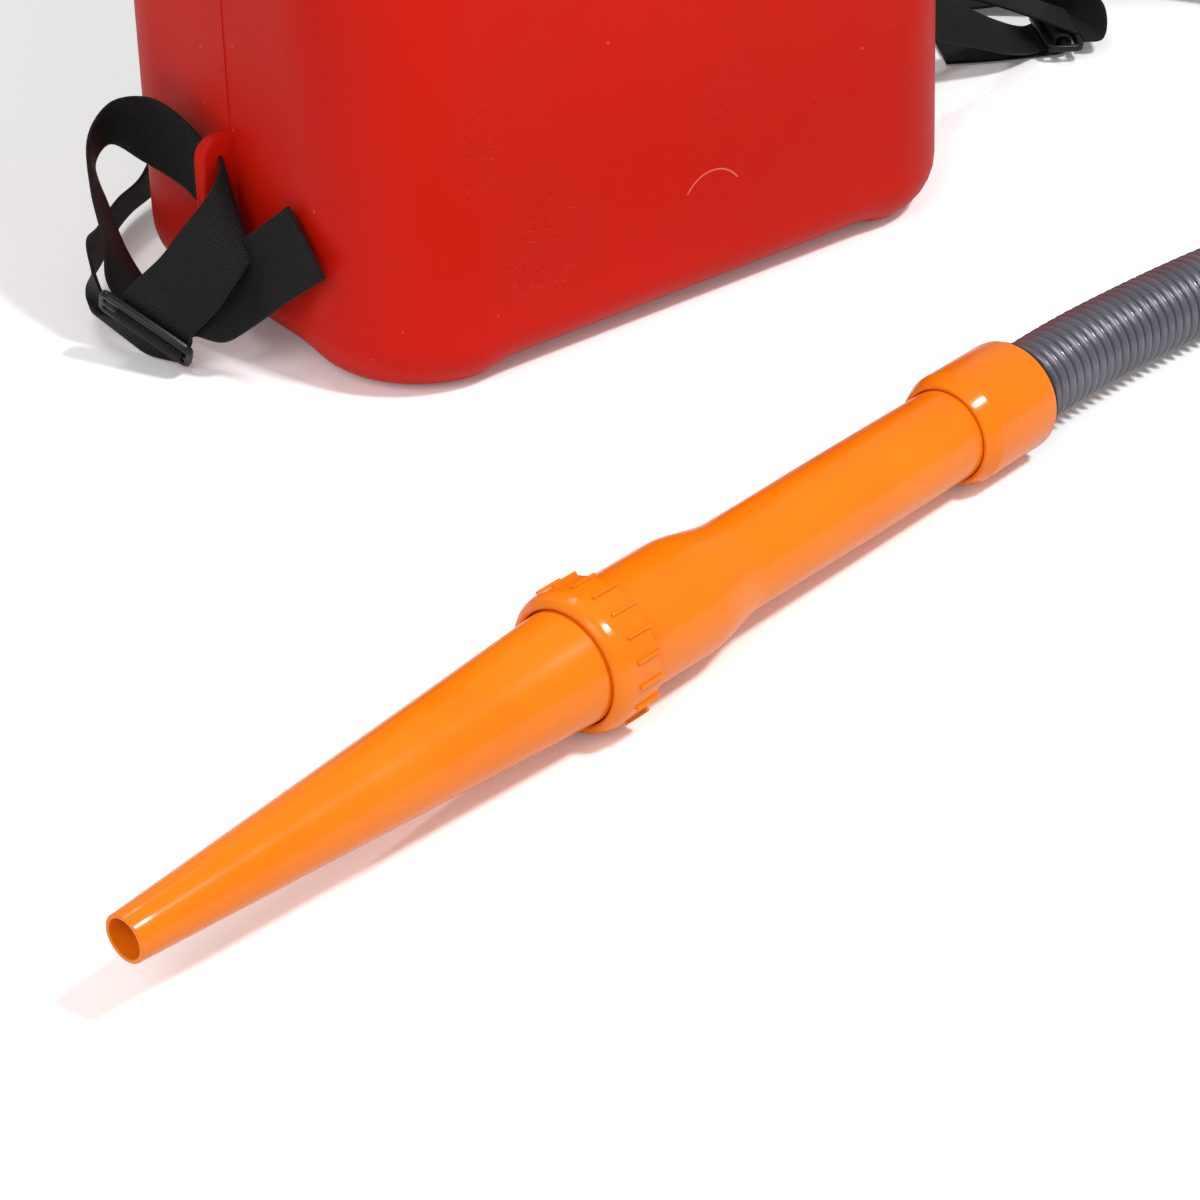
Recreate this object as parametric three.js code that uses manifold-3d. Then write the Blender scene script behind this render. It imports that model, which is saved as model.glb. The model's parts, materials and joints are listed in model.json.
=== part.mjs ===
// Knapsack blower with a hopper tank: tank, fan unit, hose, wand, harness.
// Millimetres, +X to the right seen from the front, +Y towards the wearer, +Z up, floor at z = 0.
import * as THREE from 'three';
import { mergeVertices } from 'three/addons/utils/BufferGeometryUtils.js';
import Module from 'manifold-3d';

const wasm = await Module();
wasm.setup();

// ---------------------------------------------------------------- clearances
const gap = 0.3;              // between pieces that touch
const play = 0.5;             // round pieces that move

// ---------------------------------------------------------------- tank
const tankWidth = 382;
const tankDepth = 246;
const tankHeight = 484;       // floor to the flat top
const tankWall = 3.2;
const cornerRadius = 62;      // upright corners
const footRadius = 28;        // round under the walls
const shoulderRadius = 50;
const frontLean = 0.075;      // the front face runs back by this share of the rise
const footRise = 4.5;         // height of the raised edge between the corner feet
const footLength = 57;        // length of a corner foot along each side
const ledgeInset = 34;        // outer face to the pocket of the base plate
const ledgeWidth = 12;
const ledgeThickness = 4;
const neckRadius = 72;
const neckWall = 4;
const neckHeight = 26;
const funnelTop = 214;        // where the hopper floor meets the walls
const funnelThickness = 4;
const throatX = 70;
const throatInset = 41;       // back wall's outer face to the middle of the throat
const throatRadius = 28;
const throatBottom = 142;
const throatTop = 152;
const throatWall = 3;

// strap lugs
const lugReach = 19;
const lugBottom = 50;
const lugTop = 108;
const lugThickness = 8;
const lugRim = 5.5;
const lugRound = 10;
const slotHeight = 44;
const webWidth = 38;
const webThickness = 2;

// filler lid
const lidWall = 8.5;
const lidHeight = 30;
const lidTop = 4;
const lidGrips = 24;
const sealThickness = 1.8;

// base plate
const plateThickness = 3.2;
const plateFootRadius = 26;
const grilleSlots = 9;
const grilleSlotWidth = 4;
const grillePitch = 9.5;
const plateScrewRadius = 2;
const screwHeadRadius = 4;
const screwHeadHeight = 2.2;
const plateScrewLength = 12;
const bossRadius = 6;

// fan unit
const fanX = -80;
const scrollBottom = 40;
const scrollHeight = 52;
const scrollWall = 2.5;
const scrollStart = 55;       // radius just past the tongue
const scrollEnd = 80;         // radius where the scroll meets the outlet
const outletEnd = -5;
const outletWidth = 36;
const eyeRadius = 30;
const wheelRadius = 50;
const wheelClearance = 4;
const bladeCount = 12;
const bladeThickness = 1.6;
const hubRadius = 8;
const shaftRadius = 2.5;
const shaftLength = 74;
const motorRadius = 26;
const motorHeight = 54;
const filterRadius = 52;
const scrollScrewRadius = 1.8;
const scrollEarRadius = 6.5;

// air path
const airZ = 66;
const pipeBore = 15;
const pipeWall = 2.6;
const teeWall = 3;
const teeStart = 38;
const teeEnd = 112;
const branchTopRadius = 25;
const outletBossDepth = 5;    // how far the outlet boss stands off the wall
const outletBossRadius = 35;
const gasketThickness = 2;
const flangeThickness = 4;
const flangeScrewCircle = 27;
const flangeScrewRadius = 1.8;
const flangeScrewLength = 11;
const cuffRadius = 26.5;
const tankCuffLength = 44;
const cuffSealRadius = 25.2;
const cuffSealThickness = 2;
const hoseRadius = 20;
const hoseLead = 49.3;        // straight run of the hose to the wand

// granule gate
const gateHousingHeight = 13.4;
const gateHousingLength = 84;
const gateHousingWidth = 68;
const gateBore = 25;
const gateThickness = 3;
const gateLength = 58;
const gateWidth = 60;
const rodRadius = 3;
const rodBossRadius = 10;
const gateKnobRadius = 11;
const gateKnobLength = 22;
const gateKnobGap = 4;        // boss face to knob when the gate is shut

// battery
const batteryLength = 140;
const batteryWidth = 65;
const batteryHeight = 92;
const batteryMiddleX = 62;
const clampLedgeGap = 1.7;    // tank's ledge to the clamp's foot
const clampWidth = 24;
const clampThickness = 3;
const clampFoot = 14;
const leadRadius = 1.6;

// control panel on the right wall
const panelThickness = 3;
const panelWidth = 92;
const panelHeight = 54;
const panelAboveLug = 8;
const panelRound = 6;
const panelOpeningWidth = 74;
const panelOpeningHeight = 38;
const panelScrewRadius = 1.6;
const rockerY = -24;
const rockerHalf = 8.2;
const rockerWidth = 11;
const rockerTilt = 10;
const knobY = 4;
const knobRadius = 12;
const knobLength = 13;
const knobShaftRadius = 3;
const boardDepth = 20;        // tank wall face to the board
const boardThickness = 1.6;
const socketY = 30;
const socketRadius = 6;
const socketDepth = 18;
const capRadius = 8;
const capThickness = 2.5;
const hingePinRadius = 0.8;

// harness
const padThickness = 12;
const backPadWidth = 240;
const backPadHeight = 300;
const backPadThickness = 16;
const backPadBottom = 60;
const bracketWidth = 190;
const bracketHeight = 34;
const bracketThickness = 8;
const bracketAbovePad = 32;   // back pad's top to the bracket
const bracketLip = 14;        // bracket past the handle's feet
const bracketLipHeight = 12;
const bracketScrewX = 26;
const handleHalf = 52;
const handleRise = 46;
const handleRadius = 8;
const buckleLength = 52;
const buckleDepth = 22;
const buckleBar = 4;
const buckleSlotPlay = 4;     // slot past the webbing at each end
const webOffset = -3;         // webbing off the buckle's middle, along its bars

// wand, measured along its axis from just ahead of the collar nut, positive towards the hose
const wandX = -279.2;
const wandY = -359.4;
const wandYaw = 9.6;
const wandDroop = 1;
const collarRadius = 31.75;
const collarFront = 1.5;
const collarRear = 25;
const collarRibs = 18;
const collarRibRise = 0.9;
const nozzleTip = -224.8;
const nozzleTipRadius = 9.7;
const nozzleBaseRadius = 24.7;
const nozzleWall = 1.8;
const nozzleFlange = 4;
const collarLip = 5.7;
const threadRadius = 27.6;
const bulgeRadius = 25.9;
const bulgeEnd = 68;
const waistAt = 103;
const waistRadius = 20.8;
const gripRadius = 21.3;
const cuffStart = 252;
const cuffEnd = 302.5;
const tubeEnd = 285;
const tubeWall = 2.2;

// ---------------------------------------------------------------- derived places
const halfX = tankWidth / 2;
const backY = tankDepth / 2;
const throatY = backY - throatInset;
const airY = throatY;
const fanY = airY - (scrollEnd - outletWidth / 2);
const fan = new THREE.Vector2(fanX, fanY);
const bossFace = halfX + outletBossDepth;
const ledgeEdgeY = -(backY - ledgeInset - ledgeWidth);
const batteryY = ledgeEdgeY + clampLedgeGap + clampFoot + clampThickness + gap;
const batteryX = batteryMiddleX - batteryLength / 2;
const lugMiddle = (lugBottom + lugTop) / 2;
const panelZ = lugTop + panelAboveLug + panelHeight / 2;
const bracketBottom = backPadBottom + backPadHeight + bracketAbovePad;
const plateBottom = footRise + gap;
const plateTop = plateBottom + plateThickness;
const ledgeBottom = plateTop + gap;
const ledgeTop = ledgeBottom + ledgeThickness;
const scrollTop = scrollBottom + scrollHeight;
const scrollMiddle = (scrollBottom + scrollTop) / 2;
const gateTop = throatBottom - gap;
const gateBottom = gateTop - gateHousingHeight;
const gateZ = (gateTop + gateBottom) / 2;
const neckY = (frontAt(tankHeight) + backY) / 2;
const neckTop = tankHeight + neckHeight;

/** Y of the tank's front face at a height. */
function frontAt(z) {
  return -tankDepth / 2 + frontLean * z;
}

// ---------------------------------------------------------------- solids from three.js geometry
/** Turns a closed geometry into a solid that can be joined and cut. */
function solid(geometry) {
  const bare = geometry.clone();
  bare.deleteAttribute('normal');
  bare.deleteAttribute('uv');
  const merged = mergeVertices(bare, 1e-4);
  const points = merged.attributes.position.array;
  const corners = merged.index.array;
  const kept = [];
  let volume = 0;
  for (let i = 0; i < corners.length; i += 3) {
    const [a, b, c] = [corners[i], corners[i + 1], corners[i + 2]];
    if (a === b || b === c || a === c) continue;
    kept.push(a, b, c);
    const [p, q, r] = [a, b, c].map((n) => new THREE.Vector3().fromArray(points, 3 * n));
    volume += p.dot(q.cross(r));
  }
  const triVerts = new Uint32Array(volume < 0 ? kept.reverse() : kept);
  return new wasm.Manifold(new wasm.Mesh({ numProp: 3, vertProperties: new Float32Array(points), triVerts }));
}

/** A box between two corners. */
function box(x0, x1, y0, y1, z0, z1) {
  const shape = new THREE.BoxGeometry(x1 - x0, y1 - y0, z1 - z0);
  return solid(shape.translate((x0 + x1) / 2, (y0 + y1) / 2, (z0 + z1) / 2));
}

/** An upright round bar or cone. */
function post(x, y, z0, z1, radius, sides = 24, topRadius = radius) {
  const shape = new THREE.CylinderGeometry(topRadius, radius, z1 - z0, sides);
  return solid(shape.rotateX(Math.PI / 2).translate(x, y, (z0 + z1) / 2));
}

/** A round bar or cone along X. */
function barX(x0, x1, y, z, radius, sides = 24, endRadius = radius) {
  const shape = new THREE.CylinderGeometry(radius, endRadius, x1 - x0, sides);
  return solid(shape.rotateZ(Math.PI / 2).translate((x0 + x1) / 2, y, z));
}

/** A round bar along Y. */
function barY(x, y0, y1, z, radius, sides = 16) {
  return solid(new THREE.CylinderGeometry(radius, radius, y1 - y0, sides).translate(x, (y0 + y1) / 2, z));
}

/** A tube or ring along X. */
function pipeX(x0, x1, y, z, radius, bore, sides = 32) {
  return barX(x0, x1, y, z, radius, sides).subtract(barX(x0 - 1, x1 + 1, y, z, bore, sides));
}

/** A body turned about Z from a closed profile of [radius, height] points. */
function turned(profile, sides = 40) {
  const points = [...profile, profile[0]].map(([r, z]) => new THREE.Vector2(r, z));
  return solid(new THREE.LatheGeometry(points, sides).rotateX(Math.PI / 2));
}

/** An outline in XY made a plate between two heights. */
function plate(points, z0, z1) {
  const shape = new THREE.Shape(points);
  return solid(new THREE.ExtrudeGeometry(shape, { depth: z1 - z0, bevelEnabled: false }).translate(0, 0, z0));
}

/** The outline of a rectangle with round corners, from the four sides' places. */
function roundedOutline(x0, x1, y0, y1, radius, steps = 6) {
  const corners = [[x1, y1, 0], [x0, y1, 90], [x0, y0, 180], [x1, y0, 270]];
  return corners.flatMap(([x, y, start]) => {
    const centre = new THREE.Vector2(x - Math.sign(x - x0 - 1e-6) * radius, y - Math.sign(y - y0 - 1e-6) * radius);
    return Array.from({ length: steps + 1 }, (_, k) => {
      const angle = THREE.MathUtils.degToRad(start + (90 * k) / steps);
      return new THREE.Vector2(radius * Math.cos(angle), radius * Math.sin(angle)).add(centre);
    });
  });
}

/** Joins a stack of rings, each with as many points, into one closed body. */
function loft(rings) {
  const count = rings[0].length;
  const position = rings.flatMap((ring) => ring.flatMap((p) => [p.x, p.y, p.z]));
  const index = [];
  for (let k = 0; k + 1 < rings.length; k += 1) {
    for (let i = 0; i < count; i += 1) {
      const a = k * count + i;
      const b = k * count + ((i + 1) % count);
      index.push(a, b, b + count, a, b + count, a + count);
    }
  }
  for (const [ring, first, flip] of [[rings[0], 0, true], [rings.at(-1), (rings.length - 1) * count, false]]) {
    const middle = ring.reduce((sum, p) => sum.add(p), new THREE.Vector3()).divideScalar(count);
    const hub = position.length / 3;
    position.push(middle.x, middle.y, middle.z);
    for (let i = 0; i < count; i += 1) {
      const a = first + i;
      const b = first + ((i + 1) % count);
      index.push(...(flip ? [b, a, hub] : [a, b, hub]));
    }
  }
  const geometry = new THREE.BufferGeometry();
  geometry.setAttribute('position', new THREE.Float32BufferAttribute(position, 3));
  geometry.setIndex(index);
  return solid(geometry);
}

/** One level of the tank: the outline at a height, moved in by an inset. */
function tankRing(z, inset) {
  const radius = Math.max(cornerRadius - inset, 5);
  const outline = roundedOutline(-halfX + inset, halfX - inset, frontAt(z) + inset, backY - inset, radius);
  return outline.map((p) => new THREE.Vector3(p.x, p.y, z));
}

/** A circle of points that face the points of an outline, for a loft from one to the other. */
function facingCircle(outline, x, y, z, radius) {
  return outline.map((p) => {
    const away = new THREE.Vector2(p.x - x, p.y - y).setLength(radius);
    return new THREE.Vector3(x + away.x, y + away.y, z);
  });
}

/** A flat strap between two edge curves, each a list of points. */
function strap(edges, thickness = webThickness, steps = 3) {
  const [left, right] = edges.map((points) => {
    const curve = new THREE.CatmullRomCurve3(points.map((p) => new THREE.Vector3(...p)), false, 'centripetal');
    return Array.from({ length: (points.length - 1) * steps + 1 }, (_, k) => (
      curve.getPoint(k / ((points.length - 1) * steps))));
  });
  const rings = left.map((a, k) => {
    const b = right[k];
    const [before, after] = [Math.max(k - 1, 0), Math.min(k + 1, left.length - 1)];
    const along = new THREE.Vector3().addVectors(left[after], right[after]).sub(left[before]).sub(right[before]);
    const lift = b.clone().sub(a).cross(along).setLength(thickness / 2);
    return [a.clone().add(lift), b.clone().add(lift), b.clone().sub(lift), a.clone().sub(lift)];
  });
  return loft(rings);
}

/** A round bar along a curve through points. */
function rodAlong(points, radius, sides, steps) {
  const path = new THREE.CatmullRomCurve3(points.map((p) => new THREE.Vector3(...p)), false, 'centripetal');
  const section = new THREE.Shape(Array.from({ length: sides }, (_, k) => {
    const angle = (2 * Math.PI * k) / sides;
    return new THREE.Vector2(radius * Math.cos(angle), radius * Math.sin(angle));
  }));
  return solid(new THREE.ExtrudeGeometry(section, { steps, extrudePath: path, bevelEnabled: false }));
}

/** A screw with a flat head: head from z = 0 up, shank down. */
function screw(radius, length, sides = 10) {
  return turned([[0, screwHeadHeight], [screwHeadRadius * 0.8, screwHeadHeight], [screwHeadRadius, 0],
    [radius, 0], [radius, -length], [0, -length]], sides);
}

/** Joins bodies into one solid. */
function join(bodies) {
  return bodies.reduce((sum, body) => sum.add(body));
}

// ---------------------------------------------------------------- materials
/** A plain material. */
function paint(color, roughness = 0.5, metalness = 0) {
  return { color, roughness, metalness };
}
const redTank = paint(0xc62215, 0.38);
const orangeTube = paint(0xf9882a, 0.3);
const greyHose = paint(0x72727b, 0.28, 0.3);
const blackPlastic = paint(0x151517, 0.45);
const blackWebbing = paint(0x161618, 0.85);
const blackFoam = paint(0x1c1c1e, 0.95);
const blackRubber = paint(0x101010, 0.8);
const greyPlastic = paint(0x5a5c60, 0.5);
const whiteNylon = paint(0xd8d8d2, 0.5);
const steel = paint(0xb4b6ba, 0.3, 1);
const greenBoard = paint(0x1d5a36, 0.5);
const batteryCase = paint(0x2b2f36, 0.55);
const redWire = paint(0x9c1c18, 0.5);

const blower = new THREE.Group();
const wand = new THREE.Group();
blower.add(wand);

/** Adds copies of one kind of piece, each a numbered node. */
function pieces(name, bodies, finish) {
  bodies.forEach((body, k) => piece(`${name}_${k + 1}`, body, finish));
}

/** Adds a named piece to a group. */
function piece(name, body, finish, group = blower) {
  const { vertProperties, triVerts } = body.getMesh();
  const geometry = new THREE.BufferGeometry();
  geometry.setAttribute('position', new THREE.BufferAttribute(vertProperties, 3));
  geometry.setIndex(new THREE.BufferAttribute(triVerts, 1));
  geometry.computeVertexNormals();
  const mesh = new THREE.Mesh(geometry, new THREE.MeshStandardMaterial(finish));
  mesh.name = name;
  group.add(mesh);
  return mesh;
}

// ---------------------------------------------------------------- tank
/** How far the outer face stands in at a height in the rounds under and over the walls. */
function wallInset(z) {
  const wallTop = tankHeight - shoulderRadius;
  if (z < footRadius) return footRadius - Math.sqrt(footRadius ** 2 - (footRadius - z) ** 2);
  if (z > wallTop) return shoulderRadius - Math.sqrt(Math.max(shoulderRadius ** 2 - (z - wallTop) ** 2, 0));
  return 0;
}

/** Heights that follow a quarter round from its start to its end. */
function quarterHeights(start, end, steps = 4) {
  return Array.from({ length: steps + 1 }, (_, k) => start + (end - start) * Math.sin((Math.PI / 2) * (k / steps)));
}

/** The tank's outer body before anything is cut. */
function tankOuter() {
  const under = quarterHeights(footRadius, 0).reverse();
  const over = quarterHeights(tankHeight - shoulderRadius, tankHeight);
  return loft([...under, ...over].map((z) => tankRing(z, wallInset(z))));
}

/** The hollow of the tank above the ledge. */
function tankInner() {
  const wallTop = tankHeight - shoulderRadius;
  const inside = shoulderRadius - tankWall;
  const low = [ledgeTop, (ledgeTop + footRadius) / 2, footRadius];
  const high = quarterHeights(wallTop, wallTop + inside);
  const insideInset = (z) => tankWall + (z > wallTop
    ? inside - Math.sqrt(Math.max(inside ** 2 - (z - wallTop) ** 2, 0)) : wallInset(z));
  return loft([...low, ...high].map((z) => tankRing(z, insideInset(z))));
}

/** The hopper's sloping floor with its throat. */
function funnel() {
  const rim = tankRing(funnelTop, tankWall - 1.5);
  const under = loft([rim, facingCircle(rim, throatX, throatY, throatTop - funnelThickness, throatRadius + throatWall)]
    .reverse());
  const raised = rim.map((p) => new THREE.Vector3(p.x, p.y, funnelTop + funnelThickness));
  const over = loft([raised, facingCircle(rim, throatX, throatY, throatTop, throatRadius)].reverse());
  const tube = post(throatX, throatY, throatBottom, throatTop, throatRadius + throatWall, 32);
  return under.subtract(over).add(tube).subtract(post(throatX, throatY, throatBottom - 1, throatTop + 20, throatRadius, 32));
}

/** A strap lug on one side wall, before its slot. */
function lug(side) {
  const tip = side * (halfX + lugReach);
  const root = side * (halfX - tankWall / 2);
  const points = roundedOutline(Math.min(root, tip), Math.max(root, tip), lugBottom, lugTop, lugRound, 4)
    .map((p) => (Math.abs(p.x) < halfX ? new THREE.Vector2(root, p.y > lugMiddle ? lugTop : lugBottom) : p));
  const shape = new THREE.ExtrudeGeometry(new THREE.Shape(points), { depth: lugThickness, bevelEnabled: false });
  return solid(shape.rotateX(Math.PI / 2).translate(0, lugThickness / 2, 0));
}

/** The slot through a lug. */
function lugSlot(side) {
  const outer = side * (halfX + lugReach - lugRim);
  const inner = side * (halfX + lugRim - 1);
  const [x0, x1] = [Math.min(outer, inner), Math.max(outer, inner)];
  return box(x0, x1, -lugThickness, lugThickness, lugMiddle - slotHeight / 2, lugMiddle + slotHeight / 2);
}

const ledgeMiddle = ledgeInset + ledgeWidth / 2;
const plateScrewPlaces = [-1, 1].flatMap((sx) => [-1, 1].map((sy) => (
  [sx * (halfX - cornerRadius), sy * (backY - ledgeMiddle)])));
const flangeScrewAngles = [90, 210, 330];
const bracketScrewPlaces = [-1, 1].map((sx) => [sx * bracketScrewX, bracketBottom + bracketHeight / 2]);
const panelScrewPlaces = [-1, 1].flatMap((sy) => [-1, 1].map((sz) => (
  [sy * (panelWidth / 2 - 4.5), panelZ + sz * (panelHeight / 2 - 4)])));

/** The place of a screw in the outlet flange. */
function flangeScrewPlace(degrees) {
  const angle = THREE.MathUtils.degToRad(degrees);
  return [airY + flangeScrewCircle * Math.cos(angle), airZ + flangeScrewCircle * Math.sin(angle)];
}

/** The whole tank with hopper, lugs, bosses and openings. */
function buildTank() {
  let body = tankOuter();
  body = body.add(barX(halfX - 40, bossFace, airY, airZ, outletBossRadius, 32));
  body = body.add(barX(halfX - 40, bossFace, throatY, gateZ, rodBossRadius, 20));
  body = body.add(post(0, neckY, tankHeight - shoulderRadius / 2, neckTop, neckRadius, 48));
  body = body.add(lug(-1)).add(lug(1));
  body = body.subtract(tankInner());
  body = body.add(funnel());
  for (const [x, y] of plateScrewPlaces) {
    body = body.add(post(x, y, ledgeTop - 1, plateBottom + plateScrewLength + 4, bossRadius, 12));
  }
  for (const [x, z] of bracketScrewPlaces) {
    body = body.add(barY(x, backY - tankWall - 11, backY - tankWall + 1, z, bossRadius + 1, 12));
  }
  const cuts = [
    post(0, neckY, tankHeight - shoulderRadius, neckTop + 1, neckRadius - neckWall, 48),
    loft([-1, ledgeBottom].map((z) => tankRing(0, ledgeInset).map((p) => p.clone().setZ(z)))),
    loft([ledgeBottom - 1, ledgeTop + 1].map((z) => tankRing(0, ledgeInset + ledgeWidth).map((p) => p.clone().setZ(z)))),
    box(-halfX + footLength, halfX - footLength, -tankDepth, tankDepth, -1, footRise),
    box(-tankWidth, tankWidth, -backY + footLength, backY - footLength, -1, footRise),
    barX(halfX - 60, bossFace + 1, airY, airZ, pipeBore + pipeWall + play, 32),
    barX(halfX - 60, bossFace + 1, throatY, gateZ, rodRadius + play, 16),
    box(halfX - tankWall - 4, halfX + 1, -panelOpeningWidth / 2, panelOpeningWidth / 2,
      panelZ - panelOpeningHeight / 2, panelZ + panelOpeningHeight / 2),
    lugSlot(-1),
    lugSlot(1),
    ...plateScrewPlaces.map(([x, y]) => post(x, y, 0, plateBottom + plateScrewLength + 1, plateScrewRadius + gap, 10)),
    ...bracketScrewPlaces.map(([x, z]) => barY(x, backY - 9, backY + 1, z, plateScrewRadius + gap, 10)),
    ...flangeScrewAngles.map((a) => barX(bossFace - 7, bossFace + 1, ...flangeScrewPlace(a), flangeScrewRadius + gap, 10)),
    ...panelScrewPlaces.map(([y, z]) => barX(halfX - 9, halfX + 1, y, z, panelScrewRadius + gap, 10)),
  ];
  return cuts.reduce((sum, cut) => sum.subtract(cut), body);
}
piece('tank', buildTank(), redTank);

// filler lid: turns on the neck's thread and lifts with its seal
const lidOuter = neckRadius + lidWall;
const lidBottom = neckTop + gap + sealThickness + gap + lidTop - lidHeight;
const lidRim = Array.from({ length: lidGrips * 4 }, (_, k) => {
  const radius = lidOuter - (k % 4 < 2 ? 0 : 2);
  const angle = (2 * Math.PI * k) / (lidGrips * 4);
  return new THREE.Vector2(radius * Math.cos(angle), neckY + radius * Math.sin(angle));
});
const lidHollow = post(0, neckY, lidBottom - 1, lidBottom + lidHeight - lidTop, neckRadius + play, 48);
piece('filler_lid', plate(lidRim, lidBottom, lidBottom + lidHeight).subtract(lidHollow), blackPlastic);
piece('lid_seal', post(0, neckY, neckTop + gap, neckTop + gap + sealThickness, neckRadius - 0.5, 48)
  .subtract(post(0, neckY, neckTop, neckTop + 5, neckRadius - neckWall, 48)), blackRubber);

// ---------------------------------------------------------------- base plate, battery
const plateRing = (inset, z0, z1) => loft([z0, z1].map((z) => tankRing(0, inset).map((p) => p.clone().setZ(z))));
let basePlate = plateRing(ledgeInset + gap, plateBottom, plateTop)
  .add(post(0, 0, 0, plateBottom + 1, plateFootRadius, 24));
for (let k = 0; k < grilleSlots; k += 1) {
  const x = fanX + (k - (grilleSlots - 1) / 2) * grillePitch;
  const half = Math.sqrt(filterRadius ** 2 - (x - fanX) ** 2) - 6;
  basePlate = basePlate.subtract(box(x - grilleSlotWidth / 2, x + grilleSlotWidth / 2, fanY - half, fanY + half, -1, 20));
}
const clampX = batteryX + batteryLength / 2;
const clampScrewPlaces = [batteryY - gap - clampThickness - clampFoot / 2,
  batteryY + batteryWidth + gap + clampThickness + clampFoot / 2].map((y) => [clampX, y]);
for (const [x, y] of [...plateScrewPlaces, ...clampScrewPlaces]) {
  basePlate = basePlate.subtract(post(x, y, 0, 20, plateScrewRadius + gap, 10));
}
for (const [x, y] of plateScrewPlaces) {
  basePlate = basePlate.subtract(post(x, y, 0, plateBottom + screwHeadHeight - 1.4, screwHeadRadius + gap, 12));
}
piece('base_plate', basePlate, blackPlastic);
pieces('base_screw', plateScrewPlaces.map(([x, y]) => (
  screw(plateScrewRadius, plateScrewLength - 2).rotate([180, 0, 0]).translate([x, y, plateBottom + 0.5]))), steel);

const batteryTop = plateTop + gap + batteryHeight;
const terminalPlaces = [0.12, 0.88].map((share) => [batteryX + share * batteryLength, batteryY + 14]);
const batteryBody = plate(roundedOutline(batteryX, batteryX + batteryLength, batteryY, batteryY + batteryWidth, 5, 3),
  plateTop + gap, batteryTop);
piece('battery_pack', terminalPlaces.reduce((sum, [x, y]) => (
  sum.add(box(x - 4, x + 4, y - 3, y + 3, batteryTop - 1, batteryTop + 7))), batteryBody), batteryCase);

const clampOuter = [batteryY - gap - clampThickness, batteryY + batteryWidth + gap + clampThickness];
const clampTop = batteryTop + gap + clampThickness;
let clamp = box(clampX - clampWidth / 2, clampX + clampWidth / 2, ...clampOuter, plateTop + gap, clampTop);
clamp = clamp.add(box(clampX - clampWidth / 2, clampX + clampWidth / 2, clampOuter[0] - clampFoot,
  clampOuter[1] + clampFoot, plateTop + gap, plateTop + gap + clampThickness));
clamp = clamp.subtract(box(clampX - clampWidth, clampX + clampWidth, batteryY - gap, batteryY + batteryWidth + gap,
  0, batteryTop + gap));
for (const [x, y] of clampScrewPlaces) clamp = clamp.subtract(post(x, y, 0, 30, plateScrewRadius + gap, 10));
piece('battery_clamp', clamp, steel);
pieces('clamp_screw', clampScrewPlaces.map(([x, y]) => (
  screw(plateScrewRadius, 6).translate([x, y, plateTop + gap + clampThickness + gap]))), steel);

// ---------------------------------------------------------------- fan unit
const tongueAngle = 50;
const scrollSweep = 320;
/** Radius of the scroll's inner wall at an angle, degrees from +X. */
function scrollRadius(degrees) {
  const turnedBy = THREE.MathUtils.euclideanModulo(tongueAngle - degrees, 360);
  return scrollStart + (scrollEnd - scrollStart) * Math.min(turnedBy / scrollSweep, 1);
}

/** The scroll's outline with its outlet, grown by an amount. */
function scrollOutline(grow) {
  const points = [];
  for (let turnedBy = 0; turnedBy <= scrollSweep; turnedBy += 20) {
    const degrees = tongueAngle - turnedBy;
    const angle = THREE.MathUtils.degToRad(degrees);
    const radius = scrollRadius(degrees) + grow;
    points.push(new THREE.Vector2(radius * Math.cos(angle), radius * Math.sin(angle)).add(fan));
  }
  return points;
}

/** The scroll as a solid between two heights, grown by an amount. */
function scrollBody(grow, z0, z1) {
  const top = fanY + scrollEnd + grow;
  const outlet = box(fanX, outletEnd + (grow > 0 ? 0 : 1), top - outletWidth - 2 * grow, top, z0, z1);
  return plate(scrollOutline(grow), z0, z1).add(outlet);
}

const scrollEars = [30, 130, 220, 310].map((degrees) => {
  const angle = THREE.MathUtils.degToRad(degrees);
  const radius = scrollRadius(degrees) + scrollWall + scrollEarRadius * 0.55;
  return [fanX + radius * Math.cos(angle), fanY + radius * Math.sin(angle)];
});

/** One half of the scroll case, with its screw ears. */
function scrollHalf(z0, z1, hollow0, hollow1) {
  let half = scrollBody(scrollWall, z0, z1);
  for (const [x, y] of scrollEars) half = half.add(post(x, y, z0, z1, scrollEarRadius, 14));
  return half.subtract(scrollBody(0, hollow0, hollow1));
}
let scrollLower = scrollHalf(scrollBottom, scrollMiddle, scrollBottom + scrollWall, scrollMiddle + 1)
  .subtract(post(fanX, fanY, 0, scrollMiddle, eyeRadius, 32));
let scrollUpper = scrollHalf(scrollMiddle + gap, scrollTop, scrollMiddle - 1, scrollTop - scrollWall)
  .subtract(post(fanX, fanY, scrollMiddle, scrollTop + 1, shaftRadius + play + 1, 20));
for (const [x, y] of scrollEars) {
  scrollLower = scrollLower.subtract(post(x, y, 0, scrollTop, scrollScrewRadius + gap, 10));
  scrollUpper = scrollUpper.add(screw(scrollScrewRadius, scrollHeight - 6).translate([x, y, scrollTop]));
}
piece('scroll_lower', scrollLower, blackPlastic);
piece('scroll_upper', scrollUpper, blackPlastic);

piece('intake_filter', post(fanX, fanY, plateTop + gap, scrollBottom - gap, filterRadius, 28)
  .subtract(post(fanX, fanY, plateTop + 12, scrollBottom, eyeRadius, 24)), blackFoam);

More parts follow.
